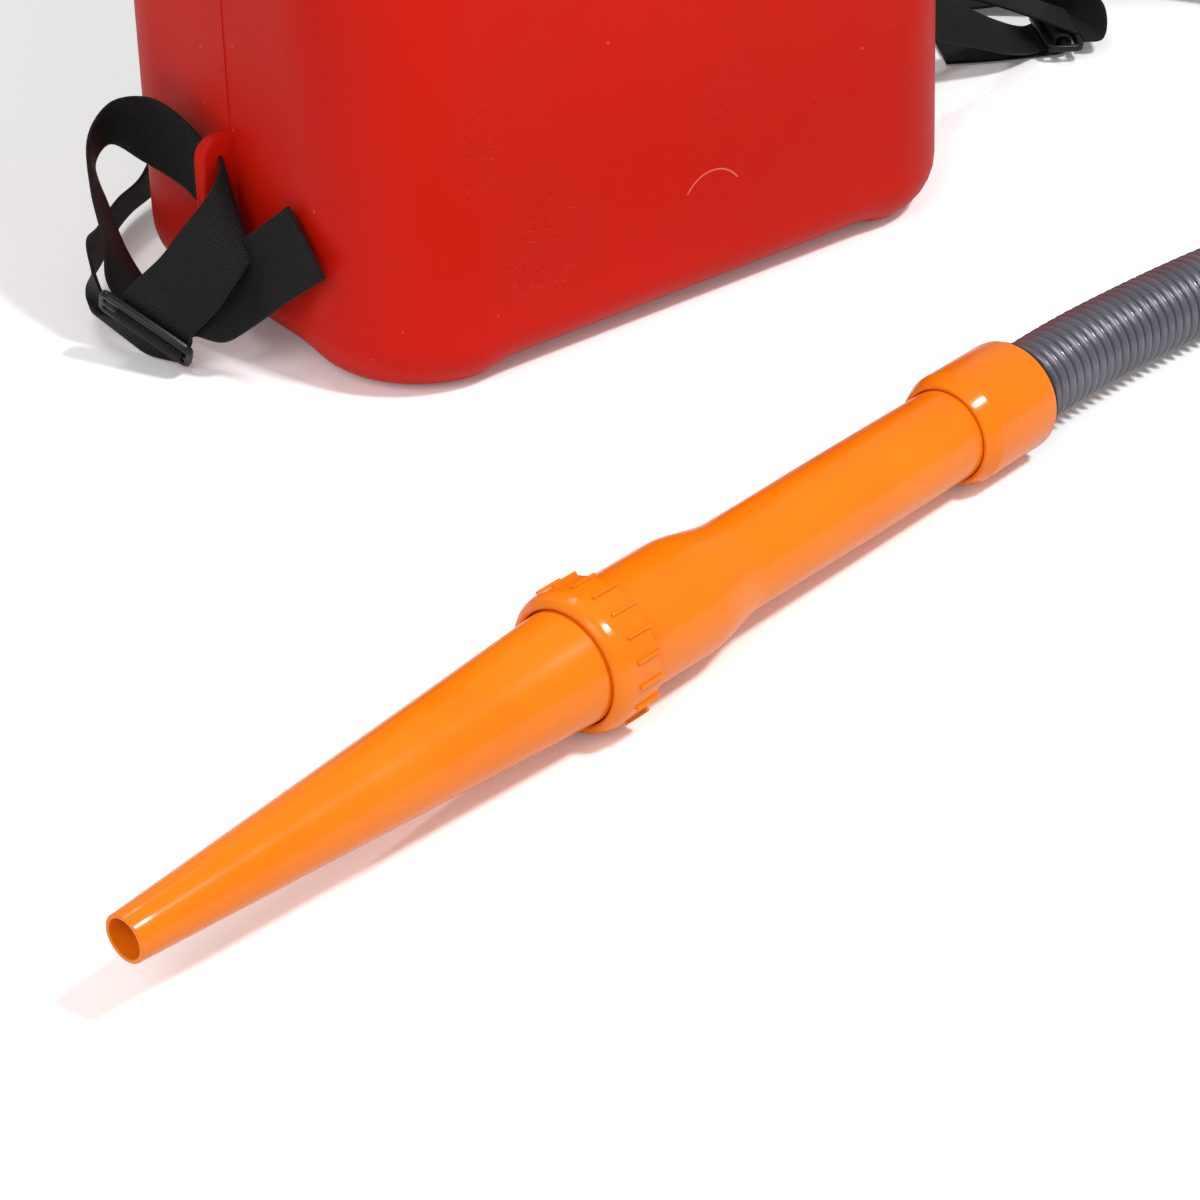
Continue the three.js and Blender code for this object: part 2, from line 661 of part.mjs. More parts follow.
const wheelBottom = scrollBottom + scrollWall + wheelClearance;
const wheelTop = scrollTop - scrollWall - wheelClearance;
const blade = box(eyeRadius, wheelRadius - 1, -bladeThickness / 2, bladeThickness / 2, wheelBottom + 0.5, wheelTop - 1);
let wheel = turned([[hubRadius, wheelTop - 22], [hubRadius, wheelTop - 2], [wheelRadius, wheelTop - 2],
  [wheelRadius, wheelTop], [shaftRadius + gap, wheelTop], [shaftRadius + gap, wheelTop - 22]], 36);
wheel = wheel.add(turned([[eyeRadius, wheelBottom], [wheelRadius, wheelBottom], [wheelRadius, wheelBottom + 1.6],
  [eyeRadius, wheelBottom + 1.6]], 36));
for (let k = 0; k < bladeCount; k += 1) {
  wheel = wheel.add(blade.rotate([0, 0, 24]).rotate([0, 0, (360 * k) / bladeCount]));
}
const wheelRim = post(0, 0, wheelBottom - 1, wheelTop + 1, wheelRadius, 36);
piece('impeller', wheel.intersect(wheelRim).translate([fanX, fanY, 0]), whiteNylon);
piece('motor_shaft', post(fanX, fanY, wheelTop - 20, wheelTop - 20 + shaftLength, shaftRadius, 14), steel);

const motorBottom = scrollTop + gap;
const motorTop = motorBottom + motorHeight;
let motor = turned([[0, motorBottom], [motorRadius, motorBottom], [motorRadius, motorTop - 4],
  [motorRadius - 5, motorTop], [0, motorTop]], 32).translate([fanX, fanY, 0]);
motor = motor.subtract(post(fanX, fanY, motorBottom - 1, wheelTop - 20 + shaftLength + 1, shaftRadius + gap, 14));
for (const side of [-1, 1]) motor = motor.add(box(fanX + side * 12 - 2, fanX + side * 12 + 2, fanY - 3, fanY + 3, motorTop - 1, motorTop + 6));
piece('motor_body', motor, steel);

pieces('motor_lead', [-1, 1].map((side, k) => {
  const [x, y] = terminalPlaces[k];
  const motorX = fanX + side * 12;
  return rodAlong([[motorX, fanY, motorTop + 6.5], [motorX, fanY - 1, motorTop + 9],
    [(motorX + x) / 2, (fanY + y) / 2 - 6 * side, motorTop + 4 + 5 * k], [x - 2, y + 1, batteryTop + 14],
    [x, y, batteryTop + 8]], leadRadius, 6, 12);
}), redWire);

// ---------------------------------------------------------------- air path
const ductOuter = facingSquare(outletWidth + 2 * scrollWall, scrollHeight);
const ductInner = facingSquare(outletWidth, scrollHeight - 2 * scrollWall);
/** A rounded rectangle in YZ round the outlet's middle. */
function facingSquare(width, height) {
  return roundedOutline(-width / 2, width / 2, -height / 2, height / 2, 6, 4);
}

/** A duct section from the scroll's outlet to the round tee. */
function ductLoft(outline, radius, x0, x1) {
  const middle = fanY + scrollEnd - outletWidth / 2;
  const first = outline.map((p) => new THREE.Vector3(x0, middle + p.x, scrollMiddle + p.y));
  const last = outline.map((p) => {
    const away = p.clone().setLength(radius);
    return new THREE.Vector3(x1, airY + away.x, airZ + away.y);
  });
  return loft([first, last]);
}
const teeBore = pipeBore + pipeWall + gap;
piece('fan_duct', ductLoft(ductOuter, teeBore + teeWall, outletEnd + gap, teeStart - gap)
  .subtract(ductLoft(ductInner, teeBore, outletEnd + gap - 0.01, teeStart - gap + 0.01)), blackPlastic);

let tee = barX(teeStart, teeEnd, airY, airZ, teeBore + teeWall, 32)
  .add(post(throatX, throatY, airZ, gateBottom - gap, teeBore + teeWall - 1, 32, branchTopRadius + teeWall));
tee = tee.subtract(barX(teeStart - 1, teeEnd + 1, airY, airZ, teeBore, 32))
  .subtract(post(throatX, throatY, airZ, gateBottom, teeBore - 2, 32, branchTopRadius));
piece('mixing_tee', tee, blackPlastic);

const gasketX = bossFace + gap;
const flangeX = gasketX + gasketThickness + gap;
const pipeStart = teeEnd - 14;
const tankCuffX = flangeX + flangeThickness + gap;
const pipeEnd = tankCuffX + tankCuffLength - 8;
const flangeHoles = (x0, x1) => flangeScrewAngles.map((a) => barX(x0, x1, ...flangeScrewPlace(a), flangeScrewRadius + gap, 10));
let spigot = barX(pipeStart, pipeEnd, airY, airZ, pipeBore + pipeWall, 32)
  .add(barX(flangeX, flangeX + flangeThickness, airY, airZ, outletBossRadius - 2, 32))
  .subtract(barX(pipeStart - 1, pipeEnd + 1, airY, airZ, pipeBore, 32));
for (const hole of flangeHoles(flangeX - 1, flangeX + flangeThickness + 1)) spigot = spigot.subtract(hole);
piece('outlet_spigot', spigot, blackPlastic);
let gasket = pipeX(gasketX, gasketX + gasketThickness, airY, airZ, outletBossRadius - 2, pipeBore + pipeWall + gap);
for (const hole of flangeHoles(gasketX - 1, gasketX + gasketThickness + 1)) gasket = gasket.subtract(hole);
piece('spigot_gasket', gasket, blackRubber);
pieces('spigot_screw', flangeScrewAngles.map((a) => (
  screw(flangeScrewRadius, flangeScrewLength).scale([0.8, 0.8, 1]).rotate([0, 90, 0])
    .translate([flangeX + flangeThickness + gap, ...flangeScrewPlace(a)]))), steel);

const screwRoom = screwHeadHeight + 2 * gap;
let tankCuff = barX(tankCuffX, tankCuffX + tankCuffLength, airY, airZ, cuffRadius, 40)
  .subtract(barX(tankCuffX - 1, pipeEnd + gap, airY, airZ, pipeBore + pipeWall + gap, 32))
  .subtract(barX(tankCuffX, tankCuffX + tankCuffLength + 1, airY, airZ, pipeBore, 32));
for (const a of flangeScrewAngles) {
  tankCuff = tankCuff.subtract(barX(tankCuffX - 1, tankCuffX + screwRoom, ...flangeScrewPlace(a), screwHeadRadius, 12));
}
piece('tank_cuff', tankCuff, orangeTube);
const tankSealX = tankCuffX + tankCuffLength + gap;
piece('tank_cuff_seal', pipeX(tankSealX, tankSealX + cuffSealThickness, airY, airZ, cuffSealRadius, pipeBore), blackRubber);

// ---------------------------------------------------------------- gate
const gateX = throatX - gateLength / 2;
let gateHousing = box(throatX - 35, throatX - 35 + gateHousingLength, throatY - gateHousingWidth / 2,
  throatY + gateHousingWidth / 2, gateBottom, gateTop);
gateHousing = gateHousing.subtract(post(throatX, throatY, gateBottom - 1, gateTop + 1, gateBore, 32));
gateHousing = gateHousing.subtract(box(gateX - gap, throatX + gateHousingLength, throatY - gateWidth / 2 - gap,
  throatY + gateWidth / 2 + gap, gateZ - gateThickness / 2 - gap, gateZ + gateThickness / 2 + gap));
gateHousing = gateHousing.subtract(barX(throatX + gateLength / 2 - 2, throatX + gateHousingLength, throatY, gateZ,
  rodRadius + play, 14));
piece('gate_housing', gateHousing, greyPlastic);
piece('gate_plate', box(gateX, gateX + gateLength, throatY - gateWidth / 2, throatY + gateWidth / 2,
  gateZ - gateThickness / 2, gateZ + gateThickness / 2), steel);
const gateKnobX = bossFace + gateKnobGap;
piece('gate_rod', barX(gateX + gateLength + gap, gateKnobX + gateKnobLength / 2 - gap, throatY, gateZ, rodRadius, 14), steel);
piece('gate_knob', turned([[0, 0], [gateKnobRadius * 0.7, 0], [gateKnobRadius, 5], [gateKnobRadius, gateKnobLength - 4],
  [gateKnobRadius - 3, gateKnobLength], [0, gateKnobLength]], 24).rotate([0, 90, 0]).translate([gateKnobX, throatY, gateZ])
  .subtract(barX(gateKnobX - 1, gateKnobX + gateKnobLength / 2, throatY, gateZ, rodRadius + gap, 14)), orangeTube);

// ---------------------------------------------------------------- control panel
const panelX = halfX + gap;
const panelFace = panelX + panelThickness;
const partX = panelFace + gap;
const housingHalfY = rockerWidth / 2 + 2;
const housingHalfZ = rockerHalf + 3.2;
const boardX = halfX - boardDepth;
let panel = solid(new THREE.ExtrudeGeometry(new THREE.Shape(roundedOutline(-panelWidth / 2, panelWidth / 2,
  -panelHeight / 2, panelHeight / 2, panelRound, 3)), { depth: panelThickness, bevelEnabled: false })
  .rotateZ(Math.PI / 2).rotateY(Math.PI / 2).translate(panelX, 0, panelZ));
for (const [y, z] of panelScrewPlaces) {
  panel = panel.add(screw(panelScrewRadius, 7, 8).scale([0.7, 0.7, 0.8]).rotate([0, 90, 0]).translate([panelFace, y, z]));
}
panel = panel.subtract(box(panelX - 1, panelFace + 1, rockerY - housingHalfY - gap, rockerY + housingHalfY + gap,
  panelZ - housingHalfZ - gap, panelZ + housingHalfZ + gap));
panel = panel.subtract(barX(panelX - 1, panelFace + 1, knobY, panelZ, knobShaftRadius + play, 16));
panel = panel.subtract(barX(panelX - 1, panelFace + 1, socketY, panelZ, socketRadius + gap, 20));
piece('control_panel', panel, greyPlastic);

let switchHousing = box(boardX + 2, partX + 0.01, rockerY - housingHalfY, rockerY + housingHalfY,
  panelZ - housingHalfZ, panelZ + housingHalfZ);
switchHousing = switchHousing.add(box(partX, partX + 2, rockerY - housingHalfY - 2.5, rockerY + housingHalfY + 2.5,
  panelZ - housingHalfZ - 2.5, panelZ + housingHalfZ + 2.5));
switchHousing = switchHousing.subtract(box(partX - 14, partX + 3, rockerY - rockerWidth / 2 - play,
  rockerY + rockerWidth / 2 + play, panelZ - rockerHalf - 1.6, panelZ + rockerHalf + 1.6));
piece('switch_housing', switchHousing, blackPlastic);
const rockerX = partX - 4;
const rockerShape = new THREE.Shape([[-4, 0], [0, -rockerHalf], [5.5, -rockerHalf], [3.5, 0], [5.5, rockerHalf],
  [0, rockerHalf]].map(([x, z]) => new THREE.Vector2(x, z)));
piece('power_rocker', solid(new THREE.ExtrudeGeometry(rockerShape, { depth: rockerWidth, bevelEnabled: false })
  .rotateX(Math.PI / 2).translate(0, rockerWidth / 2, 0).rotateY(THREE.MathUtils.degToRad(-rockerTilt))
  .translate(rockerX, rockerY, panelZ)), redTank);

piece('speed_board', box(boardX, boardX + boardThickness, knobY - 13, knobY + 13, panelZ - 17, panelZ + 17)
  .add(barX(boardX + 0.5, boardX + 12, knobY, panelZ, 8, 20))
  .add(barX(boardX + 0.5, panelX - gap, knobY - 10, panelZ - 14, 2, 10))
  .add(barX(boardX + 0.5, panelX - gap, knobY + 10, panelZ + 14, 2, 10)), greenBoard);
piece('speed_knob', barX(partX, partX + knobLength, knobY, panelZ, knobRadius, 24, knobRadius - 1)
  .add(barX(boardX + 12 + gap, partX + 1, knobY, panelZ, knobShaftRadius, 14))
  .add(box(partX + 2, partX + knobLength + 1.2, knobY - 1, knobY + 1, panelZ, panelZ + knobRadius + 0.6)), blackPlastic);

const capX = partX + 1.8 + gap;
const capPivotZ = panelZ + capRadius + 2.5;
const capPivotX = capX + capThickness / 2 + 0.6;
const earRoom = 3 + play;
let socket = barX(partX - socketDepth, partX + 0.5, socketY, panelZ, socketRadius, 20)
  .add(barX(partX, partX + 1.8, socketY, panelZ, capRadius + 1, 24))
  .add(box(partX, partX + 1.8, socketY - earRoom - 1.6, socketY + earRoom + 1.6, panelZ, capPivotZ + 2.4));
for (const side of [-1, 1]) {
  const ear = [socketY + side * earRoom, socketY + side * (earRoom + 1.6)].sort((a, b) => a - b);
  socket = socket.add(box(partX, capPivotX + 2, ...ear, capPivotZ - 1.6, capPivotZ + 1.6));
}
socket = socket.add(barY(capPivotX, socketY - earRoom - 0.5, socketY + earRoom + 0.5, capPivotZ, hingePinRadius, 10));
socket = socket.subtract(barX(partX - socketDepth + 3, partX + 3, socketY, panelZ, socketRadius - 2, 20));
socket = socket.add(barX(partX - socketDepth + 1, partX - 2, socketY, panelZ, 1, 8));
piece('charge_socket', socket, blackPlastic);
let cap = barX(capX, capX + capThickness, socketY, panelZ, capRadius, 24)
  .add(box(capX, capX + capThickness, socketY - 3, socketY + 3, panelZ, capPivotZ - 1))
  .add(barY(capPivotX, socketY - 3, socketY + 3, capPivotZ, 1.7, 14))
  .add(barX(partX + gap, capX + 0.1, socketY, panelZ, socketRadius - 2 - 2 * gap, 16));
cap = cap.subtract(barY(capPivotX, socketY - 5, socketY + 5, capPivotZ, hingePinRadius + 0.25, 10));
piece('charge_cap', cap, blackRubber);

// ---------------------------------------------------------------- harness
const padBack = backY + gap;
piece('back_pad', solid(new THREE.ExtrudeGeometry(new THREE.Shape(roundedOutline(-backPadWidth / 2, backPadWidth / 2,
  backPadBottom, backPadBottom + backPadHeight, 40, 5)), { depth: backPadThickness, bevelEnabled: false })
  .rotateX(Math.PI / 2).translate(0, padBack + backPadThickness, 0)), blackFoam);

const bracketTop = bracketBottom + bracketHeight;
const bracketBack = padBack + bracketThickness;
let bracket = solid(new THREE.ExtrudeGeometry(new THREE.Shape(roundedOutline(-bracketWidth / 2, bracketWidth / 2,
  bracketBottom, bracketTop, 8, 3)), { depth: bracketThickness, bevelEnabled: false })
  .rotateX(Math.PI / 2).translate(0, bracketBack, 0));
for (const [x, z] of bracketScrewPlaces) bracket = bracket.subtract(barY(x, padBack - 1, bracketBack + 1, z, plateScrewRadius + gap, 10));
const handleY = padBack + handleRadius + 4;
bracket = bracket.add(box(-handleHalf - bracketLip, handleHalf + bracketLip, padBack, handleY + handleRadius + 2,
  bracketTop - bracketLipHeight, bracketTop));
for (const side of [-1, 1]) {
  const boreBottom = bracketTop - bracketLipHeight - 1;
  bracket = bracket.subtract(post(side * handleHalf, handleY, boreBottom, bracketTop + 1, plateScrewRadius + gap, 10));
}
piece('strap_bracket', bracket, blackPlastic);
pieces('bracket_screw', bracketScrewPlaces.map(([x, z]) => (
  screw(plateScrewRadius, bracketThickness + 7).rotate([-90, 0, 0]).translate([x, bracketBack + gap, z]))), steel);

const handleBase = bracketTop + gap;
let handle = rodAlong([[-handleHalf, handleY, handleBase + 2], [-handleHalf, handleY, handleBase + handleRise * 0.6],
  [-handleHalf * 0.7, handleY + 6, handleBase + handleRise], [0, handleY + 9, handleBase + handleRise + 3],
  [handleHalf * 0.7, handleY + 6, handleBase + handleRise], [handleHalf, handleY, handleBase + handleRise * 0.6],
  [handleHalf, handleY, handleBase + 2]], handleRadius, 12, 24);
for (const side of [-1, 1]) {
  handle = handle.add(post(side * handleHalf, handleY, handleBase, handleBase + 3, handleRadius + 3, 16));
  handle = handle.add(post(side * handleHalf, handleY, handleBase - 10, handleBase + 10, plateScrewRadius, 10));
}
piece('carry_handle', handle, blackPlastic);

// Each strap is given by its two edges, at the sizes that `drawn` names. The pad ones are for the left side.
const drawn = { halfX: 191, backY: 123, bracketBottom: 392, clearOfPads: 120, clearOfBracket: 131, lugMiddle: 79, lugSide: 210 };
const padEdges = [
  [[-92, 132, 402], [-94, 152, 399], [-96, 170, 376], [-98, 181, 330], [-99, 184, 280], [-100, 181, 230],
    [-101, 174, 190], [-102, 168, 160]],
  [[-32, 132, 402], [-34, 152, 399], [-36, 170, 376], [-38, 181, 330], [-39, 184, 280], [-42, 181, 230],
    [-49, 174, 180], [-61, 168, 143]],
];
const harness = {
  left: {
    mirror: 1,
    end: [[9, -4.2]],
    buckle: { middle: [-245, -0.6, 22], along: [-0.4475, 0.759, 0.47], across: [0.279, 0.619, -0.733] },
    tail: [
      [[-196, -54, 91], [-205, -34.5, 72], [-213, -16, 53], [-228, -3, 40]],
      [[-196, -82, 64.5], [-205, -62, 47], [-214, -46, 31], [-224, -36, 22]],
    ],
    band: [
      [[-243, 4, 47], [-233, 0, 56], [-224, -5, 69], [-214, -9, 81], [-206, -10, 91], [-200, -5, 99], [-200, 3, 99],
        [-202, 18, 108], [-207, 44, 114], [-219, 58, 110], [-233, 57, 98], [-242, 44, 77], [-247, 28, 56],
        [-250, 24, 40]],
      [[-231, -29, 30], [-226, -36, 40], [-220, -39, 49], [-212, -40, 58], [-204, -35, 60], [-200, -22, 60],
        [-200, 3, 61], [-202, 24, 72], [-209, 50, 79], [-213, 76, 80], [-220, 79, 70], [-222, 66, 54],
        [-224, 47, 36], [-221, 20, 14]],
    ],
    toPad: [
      [[-250, 40, 16], [-238, 66, 14], [-214, 92, 10], [-190, 122, 5], [-168, 140, 5], [-142, 152, 8],
        [-114, 156, 34], [-84, 165, 82], [-71, 166, 131]],
      [[-240, 12, 3], [-244, 36, 20], [-232, 72, 34], [-210, 98, 27], [-188, 116, 28], [-164, 130, 30],
        [-142, 142, 54], [-114, 160, 104], [-99, 167, 156]],
    ],
  },
  right: {
    mirror: -1,
    end: [[9, 4.4]],
    buckle: { middle: [369, -3, 9.8], along: [-0.54, -0.84, 0], across: [0.84, -0.54, 0] },
    tail: [
      [[301, 17, 1.6], [325, 3, 1.6]],
      [[322, 49, 1.6], [345, 35, 1.6]],
    ],
    band: [
      [[318, -17, 14], [284, -14, 27], [246, -11, 42], [214, -9, 58], [200, -4, 61], [200, 3, 61], [207, 16, 60],
        [238, 28, 50], [282, 30, 42], [322, 20, 34], [348, -3, 24]],
      [[332, 10, 22], [288, 0, 48], [246, -6, 76], [212, -7, 97], [200, -4, 99], [200, 3, 99], [206, 14, 99],
        [240, 30, 86], [290, 44, 62], [338, 42, 38], [366, 27, 24]],
    ],
    toPad: [
      [[380, -29, 11], [396, -14, 22], [401, 8, 24], [386, 34, 13], [360, 62, 5], [326, 92, 8], [284, 120, 20],
        [226, 146, 46], [140, 158, 84], [71, 166, 131]],
      [[396, 6, 7], [403, 18, 4], [404, 42, 3], [398, 66, 3.5], [384, 92, 6], [350, 120, 16], [300, 146, 40],
        [235, 162, 74], [155, 166, 116], [99, 167, 156]],
    ],
  },
};

/** Moves a drawn point with the walls, lugs and bracket that the straps lie round. */
function fitted([x, y, z]) {
  const share = (value, from, to) => THREE.MathUtils.clamp((value - from) / (to - from), 0, 1);
  const atLug = share(Math.abs(x), drawn.lugSide + lugReach, drawn.lugSide) * share(Math.abs(y), slotHeight, lugThickness);
  return [
    x + Math.sign(x) * (halfX - drawn.halfX) * share(Math.abs(x), drawn.clearOfPads, drawn.halfX),
    y + (backY - drawn.backY) * share(y, 0, drawn.backY),
    z + (bracketBottom - drawn.bracketBottom) * share(z, drawn.clearOfBracket, drawn.bracketBottom)
      + (lugMiddle - drawn.lugMiddle) * atLug,
  ];
}

/** The three directions of a buckle: along its bars, across them, and out of its plane. */
function buckleFrame({ along, across }) {
  const lengthwise = new THREE.Vector3(...along).normalize();
  const outward = new THREE.Vector3().crossVectors(lengthwise, new THREE.Vector3(...across)).normalize();
  return [lengthwise, new THREE.Vector3().crossVectors(outward, lengthwise), outward];
}

/** A ladder buckle: a frame with a cross bar, lying in the plane of its two directions. */
function buckle(place) {
  const slot = (buckleDepth - 3 * buckleBar) / 2;
  const slotHalf = webWidth / 2 + buckleSlotPlay;
  let frame = plate(roundedOutline(-buckleLength / 2, buckleLength / 2, -buckleDepth / 2, buckleDepth / 2, 4, 3),
    -buckleBar / 2, buckleBar / 2);
  for (const side of [-1, 1]) {
    const y = side * (slot + buckleBar) / 2;
    frame = frame.subtract(box(-slotHalf, slotHalf, y - slot / 2, y + slot / 2, -buckleBar, buckleBar));
  }
  const turn = new THREE.Matrix4().makeBasis(...buckleFrame(place)).setPosition(...place.middle);
  return frame.transform(turn.elements);
}

/** Points of one edge of a strap at a buckle, from pairs of a place across it and a height over it. */
function atBuckle(place, side, pairs) {
  const [lengthwise, sideways, outward] = buckleFrame(place);
  return pairs.map(([across, over]) => new THREE.Vector3(...place.middle)
    .addScaledVector(lengthwise, webOffset + (side * webWidth) / 2)
    .addScaledVector(sideways, across)
    .addScaledVector(outward, over).toArray());
}

// The way of the webbing round the middle bar.
const wrap = [[-8.4, -7.4], [0, -6.4], [3.8, -4.4], [4.7, -0.5], [3.5, 2.5], [0, 3.7], [-3.5, 2.5], [-4.6, -0.4],
  [-6, -3.1], [-9, -4], [-13, -5.4]];
const padWebStart = [[buckleDepth / 2 + 1.6, 0]];

for (const [side, { mirror, end, buckle: drawnPlace, tail, band, toPad }] of Object.entries(harness)) {
  const place = { ...drawnPlace, middle: fitted(drawnPlace.middle) };
  const pad = strap(padEdges.map((edge) => edge.map(([x, y, z]) => fitted([mirror * x, y, z]))), padThickness, 2);
  const lugEdges = [1, -1].map((t, k) => (
    [...tail[k].map(fitted), ...atBuckle(place, t, wrap), ...band[k].map(fitted), ...atBuckle(place, t, end)]));
  const padWeb = [1, -1].map((t, k) => [...atBuckle(place, t, padWebStart), ...toPad[k].map(fitted)]);
  piece(`${side}_shoulder_pad`, pad.subtract(strap(padWeb, webThickness + 2 * gap)), blackFoam);
  piece(`${side}_buckle`, buckle(place), blackPlastic);
  piece(`${side}_lug_webbing`, strap(lugEdges), blackWebbing);
  piece(`${side}_pad_webbing`, strap(padWeb), blackWebbing);
}

// ---------------------------------------------------------------- wand
const collarBore = threadRadius + play;
const tubeStart = collarFront + collarLip + nozzleFlange + gap + sealThickness + 2 * gap;
const flangeFront = collarFront + collarLip + gap;
const nozzleSlope = (nozzleBaseRadius - nozzleTipRadius) / (flangeFront - nozzleTip);
piece('nozzle', turned([[nozzleTipRadius, nozzleTip], [nozzleTipRadius + nozzleSlope * 100, nozzleTip + 100],
  [nozzleBaseRadius, flangeFront], [threadRadius - 0.4, flangeFront], [threadRadius - 0.4, flangeFront + nozzleFlange],
  [nozzleBaseRadius - nozzleWall, flangeFront + nozzleFlange],
  [nozzleTipRadius + nozzleSlope * 100 - nozzleWall, nozzleTip + 100], [nozzleTipRadius - nozzleWall, nozzleTip]]),
orangeTube, wand);
const sealStart = flangeFront + nozzleFlange + gap;
piece('nozzle_seal', turned([[threadRadius - 0.6, sealStart], [threadRadius - 0.6, sealStart + sealThickness - gap],
  [nozzleBaseRadius - nozzleWall, sealStart + sealThickness - gap], [nozzleBaseRadius - nozzleWall, sealStart]], 32),
blackRubber, wand);

const collarRim = Array.from({ length: collarRibs * 4 }, (_, k) => {
  const radius = collarRadius - (k % 4 < 1 ? 0 : collarRibRise);
  const angle = (2 * Math.PI * k) / (collarRibs * 4);
  return new THREE.Vector2(radius * Math.cos(angle), radius * Math.sin(angle));
});
const collarShoulder = turned([[0, collarFront], [collarRadius - 4.6, collarFront], [collarRadius - 2.6, collarFront + 1.5],
  [collarRadius - 1, collarFront + 4], [collarRadius, collarFront + 8], [collarRadius, collarRear], [0, collarRear]], 48);
piece('collar_nut', plate(collarRim, collarFront, collarRear).intersect(collarShoulder)
  .subtract(post(0, 0, collarFront - 1, collarRear + 1, nozzleBaseRadius + play, 40))
  .subtract(post(0, 0, collarFront + collarLip, collarRear + 1, collarBore, 40)), orangeTube, wand);

const tubeProfile = [[threadRadius, tubeStart], [threadRadius, collarRear - 1], [bulgeRadius, collarRear + 1],
  [bulgeRadius, bulgeEnd], [(bulgeRadius + waistRadius) / 2, (bulgeEnd + waistAt) / 2], [waistRadius, waistAt],
  [(waistRadius + gripRadius) / 2, waistAt + 20], [gripRadius, cuffStart - 20], [gripRadius, tubeEnd]];
const tubeInside = tubeProfile.map(([r, z]) => [Math.min(r, bulgeRadius) - tubeWall, z]).reverse();
piece('wand_tube', turned([...tubeProfile, ...tubeInside]), orangeTube, wand);

piece('wand_cuff', turned([[gripRadius + gap, cuffStart], [cuffRadius - 2.5, cuffStart], [cuffRadius, cuffStart + 5],
  [cuffRadius, cuffEnd], [gripRadius - tubeWall, cuffEnd], [gripRadius - tubeWall, tubeEnd + gap],
  [gripRadius + gap, tubeEnd + gap]]), orangeTube, wand);
const wandSeal = cuffEnd + gap;
piece('wand_cuff_seal', turned([[cuffSealRadius, wandSeal], [cuffSealRadius, wandSeal + cuffSealThickness],
  [pipeBore, wandSeal + cuffSealThickness], [pipeBore, wandSeal]], 32), blackRubber, wand);

const yaw = THREE.MathUtils.degToRad(wandYaw);
const droop = THREE.MathUtils.degToRad(wandDroop);
const wandAxis = new THREE.Vector3(Math.cos(yaw) * Math.cos(droop), Math.sin(yaw) * Math.cos(droop), -Math.sin(droop));
const collarLow = collarRadius * Math.cos(droop) + collarRear * Math.sin(droop);
const wandPlace = new THREE.Vector3(wandX, wandY, collarLow);
wand.position.copy(wandPlace);
wand.quaternion.setFromUnitVectors(new THREE.Vector3(0, 0, 1), wandAxis);

// ---------------------------------------------------------------- hose
const hoseStart = [tankSealX + cuffSealThickness + gap, airY, airZ];
const hoseEnd = wandSeal + cuffSealThickness + 2 * gap;
const hoseTail = [hoseEnd + hoseLead, hoseEnd].map((s) => wandPlace.clone().addScaledVector(wandAxis, s).toArray());
const hoseRoute = [hoseStart, [282, airY, airZ], [320, 81, 62], [362, 76, 54.5], [405, 64, 46], [444, 43, 38], [478, 13, 31],
  [503, -24, 26], [519, -66, 22.5], [525, -110, 20.8], [519, -155, 20.4], [502, -198, 20.4], [475, -234, 20.4],
  [440, -262, 20.4], [399, -280, 20.4], [354, -289.5, 20.4], [308, -292, 20.4], [261, -290.5, 20.6],
  [213, -289, 21.2], [165, -290, 22.3], [118, -294, 24], ...hoseTail];
piece('hose', rodAlong(hoseRoute, hoseRadius, 10, 56), greyHose);

export default blower;
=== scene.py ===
"""Looks of a knapsack hopper blower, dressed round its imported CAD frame."""

import json
import logging
import math
from contextlib import contextmanager
from dataclasses import dataclass
from enum import Enum
from typing import Callable, Iterator, Sequence

import bmesh
import bpy
from mathutils import Matrix, Vector


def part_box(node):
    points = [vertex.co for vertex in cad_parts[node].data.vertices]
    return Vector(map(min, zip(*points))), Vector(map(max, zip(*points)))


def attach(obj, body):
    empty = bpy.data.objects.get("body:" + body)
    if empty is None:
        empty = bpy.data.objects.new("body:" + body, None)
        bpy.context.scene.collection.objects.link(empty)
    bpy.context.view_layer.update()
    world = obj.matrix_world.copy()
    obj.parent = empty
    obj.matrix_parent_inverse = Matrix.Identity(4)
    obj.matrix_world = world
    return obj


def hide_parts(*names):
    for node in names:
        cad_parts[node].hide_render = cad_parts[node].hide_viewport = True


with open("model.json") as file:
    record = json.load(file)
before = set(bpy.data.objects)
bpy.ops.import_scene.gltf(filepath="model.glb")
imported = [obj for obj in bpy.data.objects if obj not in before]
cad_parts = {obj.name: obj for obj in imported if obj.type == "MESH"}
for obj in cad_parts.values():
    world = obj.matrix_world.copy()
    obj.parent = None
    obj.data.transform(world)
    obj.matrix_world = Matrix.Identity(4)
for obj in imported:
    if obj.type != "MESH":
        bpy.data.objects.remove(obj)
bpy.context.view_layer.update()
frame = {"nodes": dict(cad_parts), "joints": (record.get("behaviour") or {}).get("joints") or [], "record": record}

logging.basicConfig(level=logging.INFO, format="%(levelname)s %(message)s")
log = logging.getLogger("blower")

Piece = bpy.types.Object
NodeTree = bpy.types.NodeTree
Node = bpy.types.Node
Socket = bpy.types.NodeSocket
Point = Sequence[float]
Colour = tuple[float, float, float]
Profile = Sequence[tuple[float, float]]
Edges = tuple[tuple[Point, ...], tuple[Point, ...]]
MM = 0.001


class Part(Enum):
    """What a selection in edit mode is made of."""

    VERT = "VERT"
    EDGE = "EDGE"
    FACE = "FACE"


